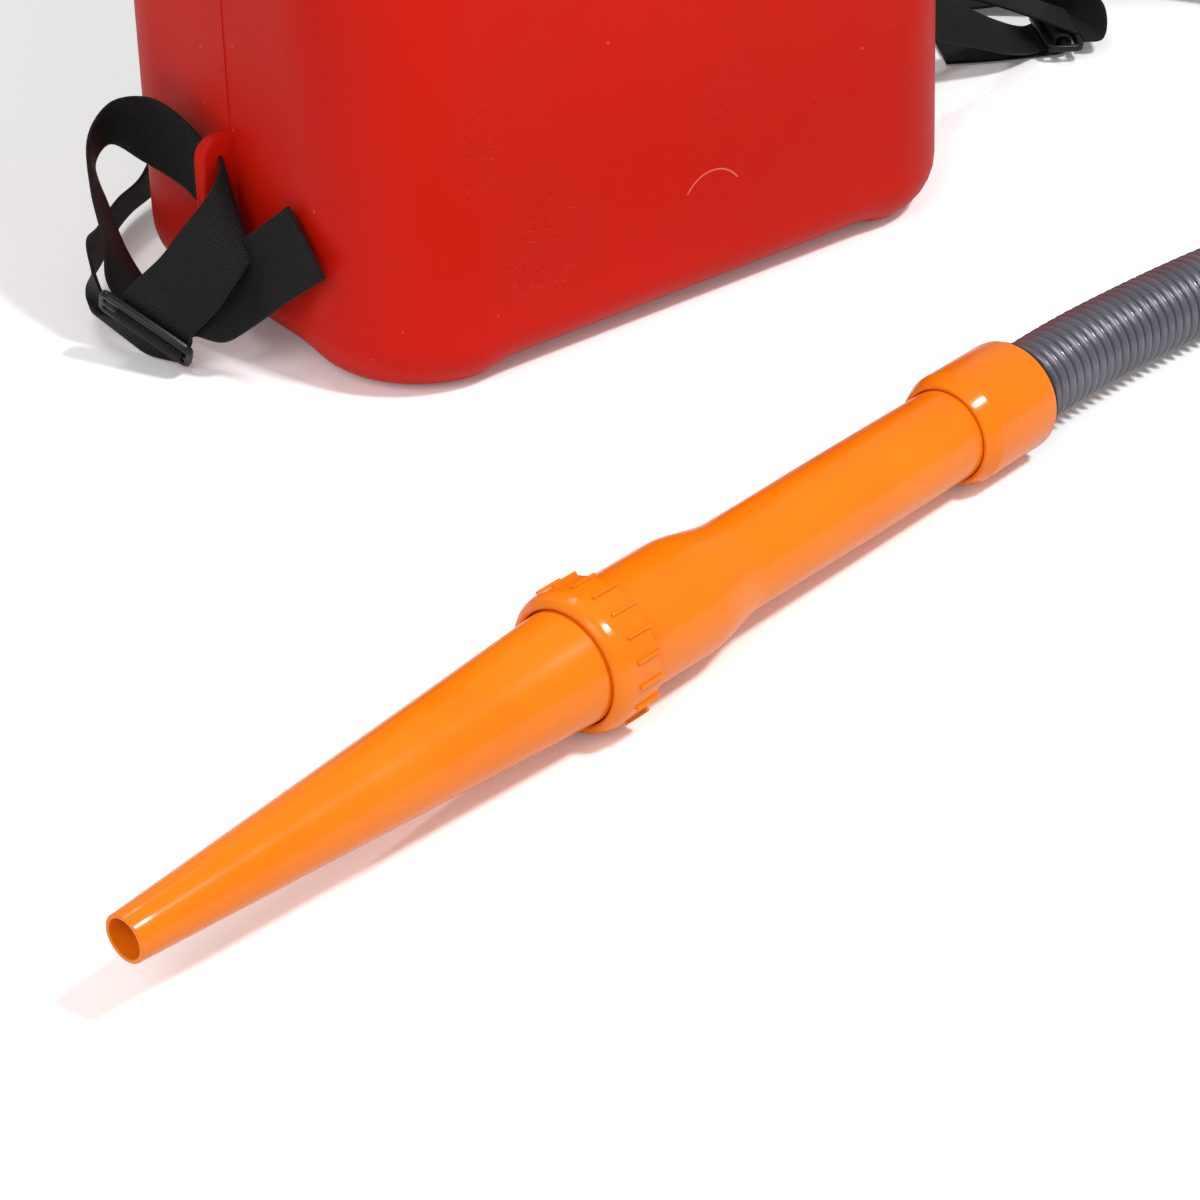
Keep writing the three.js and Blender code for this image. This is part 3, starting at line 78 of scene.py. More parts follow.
class Slot(Enum):
    """The record's material slots."""

    TANK = "tank_red"
    WAND = "wand_orange"
    HOSE = "hose_grey"
    BLACK = "black_plastic"
    GREY = "grey_plastic"
    KNOB = "orange_knob"
    WEBBING = "webbing"
    FOAM = "foam"
    RUBBER = "rubber_black"
    STEEL = "steel"
    NYLON = "nylon_white"
    BOARD = "board_green"
    BATTERY = "battery_case"
    WIRE = "wire_red"


# ------------------------------------------------------------------ shader groups


def new_group(name: str, inputs: dict[str, float], outputs: Sequence[str]) -> NodeTree:
    """Makes an empty shader group with float inputs and outputs.

    Args:
        name: Name of the group.
        inputs: Input names with their default values.
        outputs: Output names.

    Returns:
        The group, with its Group Input and Group Output nodes in place.
    """
    group = bpy.data.node_groups.new(name, "ShaderNodeTree")
    for label, value in inputs.items():
        socket = group.interface.new_socket(label, in_out="INPUT", socket_type="NodeSocketFloat")
        socket.default_value = value
    for label in outputs:
        group.interface.new_socket(label, in_out="OUTPUT", socket_type="NodeSocketFloat")
    group.nodes.new("NodeGroupInput").name = "in"
    group.nodes.new("NodeGroupOutput").name = "out"
    return group


class Wiring:
    """Adds and joins nodes in one node tree."""

    def __init__(self, tree: NodeTree) -> None:
        """Keeps the tree that the nodes go into."""
        self.tree = tree

    def add(self, kind: str, **settings: object) -> Node:
        """Adds a node.

        Args:
            kind: The node's class without its ShaderNode prefix.
            settings: Properties, or numbers for inputs whose names start with in_.

        Returns:
            The new node.
        """
        node = self.tree.nodes.new("ShaderNode" + kind)
        for label, value in settings.items():
            if label.startswith("in_"):
                node.inputs[int(label[3:])].default_value = value
            else:
                setattr(node, label, value)
        return node

    def join(self, source: Socket, target: Socket) -> None:
        """Joins an output to an input."""
        self.tree.links.new(source, target)

    def math(self, operation: str, first: object, second: object = None, clamp: bool = False) -> Socket:
        """Adds a Math node.

        Args:
            operation: The node's operation.
            first: A number or an output.
            second: A number or an output, if the operation takes one.
            clamp: Whether the result is held between 0 and 1.

        Returns:
            The node's output.
        """
        node = self.add("Math", operation=operation, use_clamp=clamp)
        for place, value in ((0, first), (1, second)):
            if isinstance(value, Socket):
                self.join(value, node.inputs[place])
            elif value is not None:
                node.inputs[place].default_value = value
        return node.outputs[0]

    def ramp(self, value: Socket, low: float, high: float) -> Socket:
        """Maps low to 0 and high to 1, held between them.

        Args:
            value: The output to map.
            low: The value that becomes 0.
            high: The value that becomes 1.

        Returns:
            The mapped output.
        """
        node = self.add("MapRange", in_1=low, in_2=high)
        self.join(value, node.inputs[0])
        return node.outputs[0]


def grain_group() -> NodeTree:
    """Makes the fine moulded grain.

    Returns:
        A group with Height for bump, and Tone from 0 to 1 for gloss.
    """
    group = new_group("moulded_grain", {"Scale": 400.0, "Cloud Scale": 12.0}, ("Height", "Tone"))
    wire = Wiring(group)
    given, result = group.nodes["in"], group.nodes["out"]
    place = wire.add("TexCoord").outputs["Object"]
    fine = wire.add("TexNoise", noise_dimensions="3D")
    fine.inputs["Detail"].default_value = 2.0
    cloud = wire.add("TexNoise")
    cloud.inputs["Detail"].default_value = 4.0
    for node, source in ((fine, "Scale"), (cloud, "Cloud Scale")):
        wire.join(place, node.inputs["Vector"])
        wire.join(given.outputs[source], node.inputs["Scale"])
    wire.join(fine.outputs[0], result.inputs["Height"])
    wire.join(wire.ramp(cloud.outputs[0], 0.35, 0.65), result.inputs["Tone"])
    return group


def scuff_group() -> NodeTree:
    """Makes handling marks.

    Returns:
        A group with Hairlines, fine curved scratches, and Specks, small pale spots.
    """
    bend_scale, bend_reach, line_edge = 9.0, 0.06, 0.004
    patch_scale, patch_low, patch_high = 14.0, 0.66, 0.74
    dot_scale, dot_rim, dot_core, dot_rarity = 95.0, 0.10, 0.04, 0.86
    group = new_group("scuffs", {"Scale": 30.0, "Reach": 0.5}, ("Hairlines", "Specks"))
    wire = Wiring(group)
    given, result = group.nodes["in"], group.nodes["out"]
    place = wire.add("TexCoord").outputs["Object"]
    bend = wire.add("TexNoise")
    bend.inputs["Scale"].default_value = bend_scale
    wire.join(place, bend.inputs["Vector"])
    shift = wire.add("VectorMath", operation="SCALE")
    wire.join(bend.outputs["Color"], shift.inputs[0])
    shift.inputs["Scale"].default_value = bend_reach
    moved = wire.add("VectorMath", operation="ADD")
    wire.join(place, moved.inputs[0])
    wire.join(shift.outputs[0], moved.inputs[1])
    lines = []
    for turn, stretch in (((0.4, 0.9, 0.3), 18.0), ((1.2, 0.2, 1.9), 14.0)):
        mapping = wire.add("Mapping")
        mapping.inputs["Rotation"].default_value = turn
        mapping.inputs["Scale"].default_value = (1.0, stretch, stretch)
        wire.join(moved.outputs[0], mapping.inputs["Vector"])
        noise = wire.add("TexNoise")
        noise.inputs["Detail"].default_value = 1.0
        wire.join(mapping.outputs[0], noise.inputs["Vector"])
        wire.join(given.outputs["Scale"], noise.inputs["Scale"])
        edge = wire.math("ABSOLUTE", wire.math("SUBTRACT", noise.outputs[0], 0.5))
        lines.append(wire.ramp(edge, line_edge, 0.0))
    where = wire.add("TexNoise")
    where.inputs["Scale"].default_value = patch_scale
    where.inputs["Detail"].default_value = 3.0
    wire.join(place, where.inputs["Vector"])
    wider = wire.math("MULTIPLY", given.outputs["Reach"], 0.2)
    patch = wire.ramp(wire.math("ADD", where.outputs[0], wider), patch_low, patch_high)
    wire.join(wire.math("MULTIPLY", wire.math("MAXIMUM", *lines), patch), result.inputs["Hairlines"])
    dots = wire.add("TexVoronoi", feature="F1")
    dots.inputs["Scale"].default_value = dot_scale
    wire.join(place, dots.inputs["Vector"])
    split = wire.add("SeparateColor")
    wire.join(dots.outputs["Color"], split.inputs[0])
    chance = wire.math("GREATER_THAN", split.outputs[0], dot_rarity)
    spot = wire.ramp(dots.outputs["Distance"], dot_rim, dot_core)
    wire.join(wire.math("MULTIPLY", spot, chance), result.inputs["Specks"])
    return group


def weave_group() -> NodeTree:
    """Makes ribbed webbing on the strap's own map.

    Returns:
        A group with Height for bump and Thread for tone, which puts painted shade in the grooves between threads.
    """
    group = new_group("webbing_weave", {"Ribs": 20.0, "Picks": 24.0}, ("Height", "Thread"))
    wire = Wiring(group)
    given, result = group.nodes["in"], group.nodes["out"]
    split = wire.add("SeparateXYZ")
    wire.join(wire.add("UVMap", uv_map="strap").outputs[0], split.inputs[0])
    across, along = split.outputs[0], split.outputs[1]
    turn = 2 * math.pi
    rib_phase = wire.math("MULTIPLY", across, wire.math("MULTIPLY", given.outputs["Ribs"], turn))
    ribs = wire.math("ABSOLUTE", wire.math("SINE", wire.math("MULTIPLY", rib_phase, 0.5)))
    row = wire.math("FLOOR", wire.math("MULTIPLY", across, given.outputs["Ribs"]))
    beat = wire.math("MULTIPLY", along, wire.math("MULTIPLY", given.outputs["Picks"], turn))
    pick_phase = wire.math("ADD", beat, wire.math("MULTIPLY", row, math.pi))
    picks = wire.ramp(wire.math("SINE", pick_phase), -0.7, 0.7)
    thread_and_groove_shade = wire.math("MULTIPLY", ribs, wire.math("ADD", wire.math("MULTIPLY", picks, 0.6), 0.4))
    wire.join(thread_and_groove_shade, result.inputs["Height"])
    wire.join(thread_and_groove_shade, result.inputs["Thread"])
    return group


def mesh_cloth_group() -> NodeTree:
    """Makes a padded mesh cloth from small cells in Object coordinates.

    Returns:
        A group with Height for bump, and Hole where the cloth is open, which the pad cloth paints near black as
        painted shade.
    """
    group = new_group("mesh_cloth", {"Scale": 420.0}, ("Height", "Hole"))
    wire = Wiring(group)
    given, result = group.nodes["in"], group.nodes["out"]
    cells = wire.add("TexVoronoi", feature="F1")
    cells.inputs["Randomness"].default_value = 0.25
    wire.join(wire.add("TexCoord").outputs["Object"], cells.inputs["Vector"])
    wire.join(given.outputs["Scale"], cells.inputs["Scale"])
    wire.join(cells.outputs["Distance"], result.inputs["Height"])
    wire.join(wire.ramp(cells.outputs["Distance"], 0.30, 0.15), result.inputs["Hole"])
    return group


def line_mark_group() -> NodeTree:
    """Makes one thin mark on an upright face.

    Returns:
        A group whose Mask is 1 on a short arc round a given place.
    """
    depth = 0.03
    inputs = {"X": 0.0, "Y": 0.0, "Z": 0.0, "Radius": 0.02, "Start": 0.0, "Width": 0.0004, "Side": 1.0}
    group = new_group("arc_mark", inputs, ("Mask",))
    wire = Wiring(group)
    given, result = group.nodes["in"].outputs, group.nodes["out"]
    split = wire.add("SeparateXYZ")
    wire.join(wire.add("TexCoord").outputs["Object"], split.inputs[0])
    gaps = [wire.math("SUBTRACT", split.outputs[k], given[label]) for k, label in enumerate("XYZ")]
    flat = wire.math("ADD", *(wire.math("MULTIPLY", gap, gap) for gap in (gaps[0], gaps[2])))
    ring = wire.math("ABSOLUTE", wire.math("SUBTRACT", wire.math("SQRT", flat), given["Radius"]))
    thin = wire.math("SUBTRACT", 1.0, wire.math("DIVIDE", ring, given["Width"]), clamp=True)
    ahead = wire.math("MULTIPLY", wire.math("SUBTRACT", gaps[2], given["Start"]), given["Side"])
    kept = wire.math("GREATER_THAN", ahead, 0.0)
    near = wire.math("LESS_THAN", wire.math("ABSOLUTE", gaps[1]), depth)
    wire.join(wire.math("MULTIPLY", wire.math("MULTIPLY", thin, kept), near), result.inputs["Mask"])
    return group


class Effects:
    """The shader groups, each made once."""

    def __init__(self) -> None:
        """Makes every group."""
        self.grain = grain_group()
        self.scuffs = scuff_group()
        self.weave = weave_group()
        self.cloth = mesh_cloth_group()
        self.arc = line_mark_group()

    def place(self, wire: Wiring, group: NodeTree, **values: float) -> Node:
        """Puts a group in a material.

        Args:
            wire: The material's wiring.
            group: The group.
            values: Input values, with _ for a space.

        Returns:
            The group node.
        """
        node = wire.add("Group", node_tree=group)
        for label, value in values.items():
            node.inputs[label.replace("_", " ")].default_value = value
        return node


# ------------------------------------------------------------------ finishes


def linear(red: float, green: float, blue: float) -> tuple[float, float, float, float]:
    """Turns a display colour from 0 to 255 into a linear one with alpha.

    Args:
        red: Red, 0 to 255.
        green: Green, 0 to 255.
        blue: Blue, 0 to 255.

    Returns:
        The linear colour.
    """
    parts = [c / 255 for c in (red, green, blue)]
    made = [c / 12.92 if c <= 0.04045 else ((c + 0.055) / 1.055) ** 2.4 for c in parts]
    return (*made, 1.0)


@dataclass(frozen=True)
class Finish:
    """A surface with grain, tone and marks: the base of every finish here."""

    name: str
    colour: Colour
    tone: Colour
    roughness: float = 0.4
    roughness_spread: float = 0.06
    metallic: float = 0.0
    coat: float = 0.0
    specular: float = 0.35
    grain_scale: float = 400.0
    grain_depth: float = 0.00002
    cloud_scale: float = 12.0
    scuff_scale: float = 30.0
    scuff_reach: float = 0.3
    scuff_colour: Colour = (200, 190, 185)
    scuff_strength: float = 0.3
    scuff_dullness: float = 0.4
    speck_strength: float = 0.3
    sheen: float = 0.0
    sheen_roughness: float = 0.5

    def material(self, effects: Effects) -> bpy.types.Material:
        """Makes the material.

        Args:
            effects: The shader groups.

        Returns:
            The material.
        """
        material = bpy.data.materials.new(self.name)
        material.use_nodes = True
        wire = Wiring(material.node_tree)
        shader = material.node_tree.nodes["Principled BSDF"]
        shader.inputs["Metallic"].default_value = self.metallic
        shader.inputs["Coat Weight"].default_value = self.coat
        shader.inputs["Specular IOR Level"].default_value = self.specular
        shader.inputs["Coat Roughness"].default_value = 0.12
        shader.inputs["Sheen Weight"].default_value = self.sheen
        shader.inputs["Sheen Roughness"].default_value = self.sheen_roughness
        colour, rough, height = self.surface(wire, effects)
        wire.join(colour, shader.inputs["Base Color"])
        wire.join(rough, shader.inputs["Roughness"])
        bump = wire.add("Bump")
        bump.inputs["Distance"].default_value = self.grain_depth
        wire.join(height, bump.inputs["Height"])
        wire.join(bump.outputs[0], shader.inputs["Normal"])
        return material

    def surface(self, wire: Wiring, effects: Effects) -> tuple[Socket, Socket, Socket]:
        """Wires what the finish looks like.

        Args:
            wire: The material's wiring.
            effects: The shader groups.

        Returns:
            The colour, the roughness and the height.
        """
        grain = effects.place(wire, effects.grain, Scale=self.grain_scale, Cloud_Scale=self.cloud_scale)
        marks = effects.place(wire, effects.scuffs, Scale=self.scuff_scale, Reach=self.scuff_reach)
        base = self.blend(wire, grain.outputs["Tone"], linear(*self.colour), linear(*self.tone))
        hair = wire.math("MULTIPLY", marks.outputs["Hairlines"], self.scuff_strength)
        speck = wire.math("MULTIPLY", marks.outputs["Specks"], self.speck_strength)
        worn = self.blend(wire, wire.math("MAXIMUM", hair, speck), base, linear(*self.scuff_colour))
        spread = wire.math("MULTIPLY", grain.outputs["Tone"], self.roughness_spread)
        dull = wire.math("MULTIPLY", hair, self.scuff_dullness)
        rough = wire.math("ADD", wire.math("ADD", spread, self.roughness), dull)
        height = wire.math("SUBTRACT", grain.outputs["Height"], marks.outputs["Hairlines"])
        return worn, rough, height

    @staticmethod
    def blend(wire: Wiring, share: Socket, first: object, second: object) -> Socket:
        """Mixes two colours by a share from 0 to 1.

        Args:
            wire: The material's wiring.
            share: How much of the second colour.
            first: A colour or an output.
            second: A colour or an output.

        Returns:
            The mixed colour.
        """
        mix = wire.add("Mix", data_type="RGBA")
        wire.join(share, mix.inputs["Factor"])
        for place, value in ((6, first), (7, second)):
            if isinstance(value, Socket):
                wire.join(value, mix.inputs[place])
            else:
                mix.inputs[place].default_value = value
        return mix.outputs[2]


@dataclass(frozen=True)
class Scratch:
    """One curved scratch on the front of the tank, in metres."""

    x: float
    z: float
    radius: float
    start: float
    width: float
    side: float


@dataclass(frozen=True)
class TankPlastic(Finish):
    """Blow-moulded red with a few long scratches on the front."""

    front: float = -0.115
    scratches: tuple[Scratch, ...] = ()
    scratch_strength: float = 0.55
    scratch_colour: Colour = (245, 180, 170)

    def surface(self, wire: Wiring, effects: Effects) -> tuple[Socket, Socket, Socket]:
        """Lays the scratches over the plain finish.

        Args:
            wire: The material's wiring.
            effects: The shader groups.

        Returns:
            The colour, the roughness and the height.
        """
        colour, rough, height = super().surface(wire, effects)
        for mark in self.scratches:
            arc = effects.place(wire, effects.arc, X=mark.x, Y=self.front, Z=mark.z, Radius=mark.radius,
                                Start=mark.start, Width=mark.width, Side=mark.side)
            share = wire.math("MULTIPLY", arc.outputs["Mask"], self.scratch_strength)
            colour = self.blend(wire, share, colour, linear(*self.scratch_colour))
        return colour, rough, height


@dataclass(frozen=True)
class WebbingCloth(Finish):
    """Woven nylon webbing, ribbed along its length, with painted shade in the grooves between its threads."""

    ribs: float = 26.0
    picks: float = 26.0
    dust: float = 0.25
    fuzz: float = 0.35
    thread_shine: float = 0.18
    sheen: float = 0.03

    def surface(self, wire: Wiring, effects: Effects) -> tuple[Socket, Socket, Socket]:
        """Wires the weave, with painted shade in the grooves between threads.

        Args:
            wire: The material's wiring.
            effects: The shader groups.

        Returns:
            The colour, the roughness and the height.
        """
        weave = effects.place(wire, effects.weave, Ribs=self.ribs, Picks=self.picks)
        grain = effects.place(wire, effects.grain, Scale=900.0, Cloud_Scale=self.cloud_scale)
        # Painted shade: where Thread is low, in the grooves between threads, the colour goes to the near-black
        # tone.
        thread_and_groove_shade = self.blend(wire, weave.outputs["Thread"], linear(*self.tone), linear(*self.colour))
        dust = wire.math("MULTIPLY", grain.outputs["Tone"], self.dust)
        worn = self.blend(wire, dust, thread_and_groove_shade, linear(*self.scuff_colour))
        shine = wire.math("MULTIPLY", weave.outputs["Thread"], self.thread_shine)
        rough = wire.math("SUBTRACT", self.roughness, shine)
        fuzz = wire.math("MULTIPLY", grain.outputs["Height"], self.fuzz)
        return worn, rough, wire.math("ADD", weave.outputs["Height"], fuzz)


@dataclass(frozen=True)
class PadCloth(Finish):
    """Padded mesh cloth over foam, with painted shade in its holes."""

    mesh_scale: float = 420.0
    # Painted shade: the colour of the mesh's open cells.
    hole_shade_colour: Colour = (6, 6, 7)
    fuzz: float = 0.3
    sheen: float = 0.1
    sheen_roughness: float = 0.6

    def surface(self, wire: Wiring, effects: Effects) -> tuple[Socket, Socket, Socket]:
        """Wires the small holes, painted near black as shade.

        Args:
            wire: The material's wiring.
            effects: The shader groups.

        Returns:
            The colour, the roughness and the height.
        """
        cloth = effects.place(wire, effects.cloth, Scale=self.mesh_scale)
        grain = effects.place(wire, effects.grain, Scale=700.0, Cloud_Scale=self.cloud_scale)
        base = self.blend(wire, grain.outputs["Tone"], linear(*self.colour), linear(*self.tone))
        # Painted shade: the open cells are darkened towards the near-black hole colour.
        with_hole_shade = self.blend(wire, cloth.outputs["Hole"], base, linear(*self.hole_shade_colour))
        spread = wire.math("MULTIPLY", grain.outputs["Tone"], self.roughness_spread)
        rough = wire.math("ADD", spread, self.roughness)
        fuzz = wire.math("MULTIPLY", grain.outputs["Height"], self.fuzz)
        return with_hole_shade, rough, wire.math("ADD", cloth.outputs["Height"], fuzz)


FINISHES: dict[Slot, Finish] = {
    Slot.TANK: TankPlastic(
        "tank_red_plastic", (205, 24, 8), (199, 28, 11), roughness=0.36, roughness_spread=0.10,
        specular=0.12, grain_scale=260.0, grain_depth=0.00004, cloud_scale=7.0,
        scuff_colour=(235, 140, 125), scuff_strength=0.22, speck_strength=0.35, scuff_reach=0.35,
        scratches=(Scratch(0.006, 0.052, 0.020, 0.012, 0.0005, 1.0),
                   Scratch(0.0275, 0.196, 0.014, 0.004, 0.0005, 1.0))),
    Slot.WAND: Finish(
        "wand_orange_plastic", (244, 124, 10), (246, 131, 14), roughness=0.15, roughness_spread=0.10,
        specular=0.3, coat=0.06, grain_scale=180.0, grain_depth=0.00003, cloud_scale=16.0,
        scuff_colour=(170, 84, 40),
        scuff_strength=0.28, speck_strength=0.10, scuff_reach=0.45),
    Slot.HOSE: Finish(
        "hose_grey_plastic", (112, 112, 122), (100, 100, 110), roughness=0.2, roughness_spread=0.05,
        metallic=0.3, specular=0.5, coat=0.4, grain_scale=1400.0, grain_depth=0.00002, cloud_scale=40.0,
        scuff_colour=(190, 190, 200), scuff_strength=0.15, speck_strength=0.1),
    Slot.BLACK: Finish(
        "black_moulded_plastic", (14, 14, 17), (19, 19, 22), roughness=0.30, grain_scale=1200.0,
        grain_depth=0.00003, cloud_scale=20.0, scuff_colour=(110, 110, 115), scuff_strength=0.2,
        speck_strength=0.1),
    Slot.GREY: Finish(
        "grey_moulded_plastic", (96, 99, 104), (88, 91, 96), roughness=0.5, grain_scale=1100.0,
        grain_depth=0.00003, scuff_colour=(170, 170, 172), scuff_strength=0.2, speck_strength=0.15),
    Slot.KNOB: Finish(
        "orange_knob_plastic", (246, 130, 30), (242, 122, 26), roughness=0.3, grain_scale=600.0,
        grain_depth=0.00002, scuff_colour=(160, 80, 40)),
    # The webbing's tone (4, 4, 5) is painted shade for the grooves between its threads.
    Slot.WEBBING: WebbingCloth(
        "black_webbing", (23, 22, 24), (4, 4, 5), roughness=0.62, specular=0.2, grain_depth=0.0004,
        cloud_scale=25.0, scuff_colour=(30, 29, 31)),
    Slot.FOAM: PadCloth(
        "black_pad_cloth", (30, 30, 32), (24, 24, 26), roughness=0.85, grain_depth=0.0004,
        cloud_scale=18.0),
    Slot.RUBBER: Finish(
        "black_rubber", (20, 20, 20), (26, 26, 26), roughness=0.7, grain_scale=900.0, grain_depth=0.00003,
        scuff_colour=(70, 70, 70), scuff_strength=0.15),
    Slot.STEEL: Finish(
        "zinc_plated_steel", (178, 180, 184), (150, 152, 158), roughness=0.28, roughness_spread=0.15,
        metallic=1.0, grain_scale=1600.0, grain_depth=0.00001, cloud_scale=60.0,
        scuff_colour=(120, 118, 112)),
    Slot.NYLON: Finish(
        "white_nylon", (216, 216, 208), (206, 205, 196), roughness=0.45, grain_scale=900.0,
        scuff_colour=(150, 146, 138)),
    Slot.BOARD: Finish(
        "green_board", (38, 92, 56), (30, 80, 48), roughness=0.4, grain_scale=900.0,
        scuff_colour=(150, 160, 120)),
    Slot.BATTERY: Finish(
        "battery_case_plastic", (46, 50, 58), (40, 44, 52), roughness=0.5, grain_scale=1000.0,
        scuff_colour=(120, 120, 124)),
    Slot.WIRE: Finish(
        "red_lead_insulation", (152, 30, 26), (138, 26, 24), roughness=0.42, grain_scale=900.0,
        scuff_colour=(190, 120, 110)),
}


class Wardrobe:
    """Holds the finished materials and puts them on pieces."""

    def __init__(self) -> None:
        """Makes every material once."""
        effects = Effects()
        self.materials = {slot: finish.material(effects) for slot, finish in FINISHES.items()}

    def dress(self, piece: Piece, slot: Slot) -> None:
        """Gives a piece its material.

        Args:
            piece: The piece.
            slot: The material slot.
        """
        piece.data.materials.clear()
        piece.data.materials.append(self.materials[slot])


# ------------------------------------------------------------------ bench work


def deselect() -> None:
    """Leaves edit mode and clears the selection."""
    if bpy.context.mode != "OBJECT":
        bpy.ops.object.mode_set(mode="OBJECT")
    bpy.ops.object.select_all(action="DESELECT")


def activate(piece: Piece) -> None:
    """Makes a piece the only selected one, and the active one.

    Args:
        piece: The piece.
    """
    deselect()
    piece.select_set(True)
    bpy.context.view_layer.objects.active = piece


@contextmanager
def editing(piece: Piece, part: Part = Part.FACE) -> Iterator[None]:
    """Opens a piece in edit mode with nothing selected, and closes it again.

    Args:
        piece: The piece to edit.
        part: What is selected in this mode.
    """
    activate(piece)
    bpy.ops.object.mode_set(mode="EDIT")
    bpy.ops.mesh.select_mode(type=part.value)
    bpy.ops.mesh.select_all(action="DESELECT")
    yield
    bpy.ops.object.mode_set(mode="OBJECT")


def pick(piece: Piece, part: Part, test: Callable[[object], bool]) -> None:
    """Selects the parts of a piece in edit mode that pass a test.

    Args:
        piece: The piece being edited.
        part: What is tested.
        test: Takes a bmesh vertex, edge or face.
    """
    bpy.ops.mesh.select_mode(type=part.value)
    bpy.ops.mesh.select_all(action="DESELECT")
    mesh = bmesh.from_edit_mesh(piece.data)
    found = {Part.VERT: mesh.verts, Part.EDGE: mesh.edges, Part.FACE: mesh.faces}[part]
    for item in [item for item in found if test(item)]:
        item.select_set(True)
    mesh.select_flush_mode()
    bmesh.update_edit_mesh(piece.data)


def middle(item: object) -> Vector:
    """Finds the middle of a bmesh vertex, edge or face.

    Args:
        item: The vertex, edge or face.

    Returns:
        Its middle.
    """
    if isinstance(item, bmesh.types.BMVert):
        return item.co.copy()
    return sum((v.co for v in item.verts), Vector()) / len(item.verts)


def depth_of(edge: bmesh.types.BMEdge) -> float:
    """How far an edge runs along Y, in millimetres."""
    return abs(edge.verts[0].co.y - edge.verts[1].co.y) / MM


def upright(edge: bmesh.types.BMEdge) -> bool:
    """Whether an edge runs mostly up and down."""
    run = edge.verts[1].co - edge.verts[0].co
    return abs(run.z) > 0.9 * run.length


def settle(piece: Piece) -> None:
    """Moves a piece's place, turn and size into its mesh."""
    activate(piece)
    bpy.ops.object.transform_apply(location=True, rotation=True, scale=True)


def modify(piece: Piece, kind: str, **settings: object) -> None:
    """Adds a modifier and applies it.

    Args:
        piece: The piece.
        kind: The modifier's type.
        settings: The modifier's properties.
    """
    activate(piece)
    modifier = piece.modifiers.new(kind.lower(), kind)
    for label, value in settings.items():
        setattr(modifier, label, value)
    bpy.ops.object.modifier_apply(modifier=modifier.name)


def cut(piece: Piece, tool: Piece, operation: str = "DIFFERENCE") -> None:
    """Cuts a piece with a tool, or joins the tool to it, and throws the tool away.

    Args:
        piece: The piece that stays.
        tool: The piece that is used up.
        operation: DIFFERENCE, UNION or INTERSECT.
    """
    modify(piece, "BOOLEAN", object=tool, operation=operation, solver="EXACT")
    bpy.data.objects.remove(tool)


def smooth(piece: Piece, degrees: float = 32.0) -> None:
    """Shades a piece smooth, with its edges sharper than an angle kept."""
    activate(piece)
    bpy.ops.object.shade_smooth_by_angle(angle=math.radians(degrees))


def soften(piece: Piece, width: float, segments: int = 2, degrees: float = 35.0) -> None:
    """Rounds the sharp edges of a piece.

    Args:
        piece: The piece.
        width: Width of the rounding.
        segments: Steps across it.
        degrees: Edges sharper than this are rounded.
    """
    modify(piece, "BEVEL", width=width, segments=segments, limit_method="ANGLE",
           angle_limit=math.radians(degrees), use_clamp_overlap=True, miter_outer="MITER_ARC")


def block(name: str, low: Point, high: Point) -> Piece:
    """Adds a box between two corners.

    Args:
        name: Name of the piece.
        low: Its lowest corner, in metres.
        high: Its highest corner.

    Returns:
        The box.
    """
    centre = [(a + b) / 2 for a, b in zip(low, high)]
    deselect()
    bpy.ops.mesh.primitive_cube_add(size=1, location=centre, scale=[b - a for a, b in zip(low, high)])
    made = bpy.context.active_object
    made.name = name
    settle(made)
    return made


def bar(name: str, start: Point, end: Point, radius: float, sides: int = 48) -> Piece:
    """Adds a round bar between two points.

    Args:
        name: Name of the piece.
        start: Middle of its first end.
        end: Middle of its last end.
        radius: Its radius.
        sides: Sides round it.

    Returns:
        The bar.
    """
    run = Vector(end) - Vector(start)
    deselect()
    bpy.ops.mesh.primitive_cylinder_add(
        vertices=sides, radius=radius, depth=run.length, location=(Vector(start) + Vector(end)) / 2,
        rotation=run.to_track_quat("Z", "Y").to_euler())
    made = bpy.context.active_object
    made.name = name
    settle(made)
    return made


def bevel_picked(width: float, segments: int) -> None:
    """Rounds the selected edges."""
    bpy.ops.mesh.bevel(offset=width, offset_type="OFFSET", segments=segments, profile=0.5, affect="EDGES",
                       clamp_overlap=True)


def round_edges(piece: Piece, test: Callable[[object], bool], width: float, segments: int) -> None:
    """Rounds the edges of a piece that pass a test.

    Args:
        piece: The piece.
        test: Takes a bmesh edge.
        width: Width of the rounding, in millimetres.
        segments: Steps across it.
    """
    with editing(piece, Part.EDGE):
        pick(piece, Part.EDGE, test)
        bevel_picked(width * MM, segments)


def face_outward() -> None:
    """Turns every face of the piece in edit mode outward."""
    bpy.ops.mesh.select_all(action="SELECT")
    bpy.ops.mesh.normals_make_consistent(inside=False)


def twin(piece: Piece) -> Piece:
    """Copies a piece with its own mesh.

    Args:
        piece: The piece.

    Returns:
        The copy.
    """
    made = piece.copy()
    made.data = piece.data.copy()
    bpy.context.scene.collection.objects.link(made)
    return made


def around(piece: Piece, count: int, start: float = 0.0) -> list[Piece]:
    """Lays a piece and its copies evenly about Z.

    Args:
        piece: The first piece.
        count: How many there are in all.
        start: Turn of the first one.

    Returns:
        All of the pieces.
    """
    pieces = [piece, *(twin(piece) for _ in range(1, count))]
    for k, part in enumerate(pieces):
        part.rotation_euler.z = start + 2 * math.pi * k / count
        settle(part)
    return pieces


def in_mm(points: Profile) -> list[tuple[float, float]]:
    """Turns a profile's millimetres into metres."""
    return [(radius * MM, height * MM) for radius, height in points]


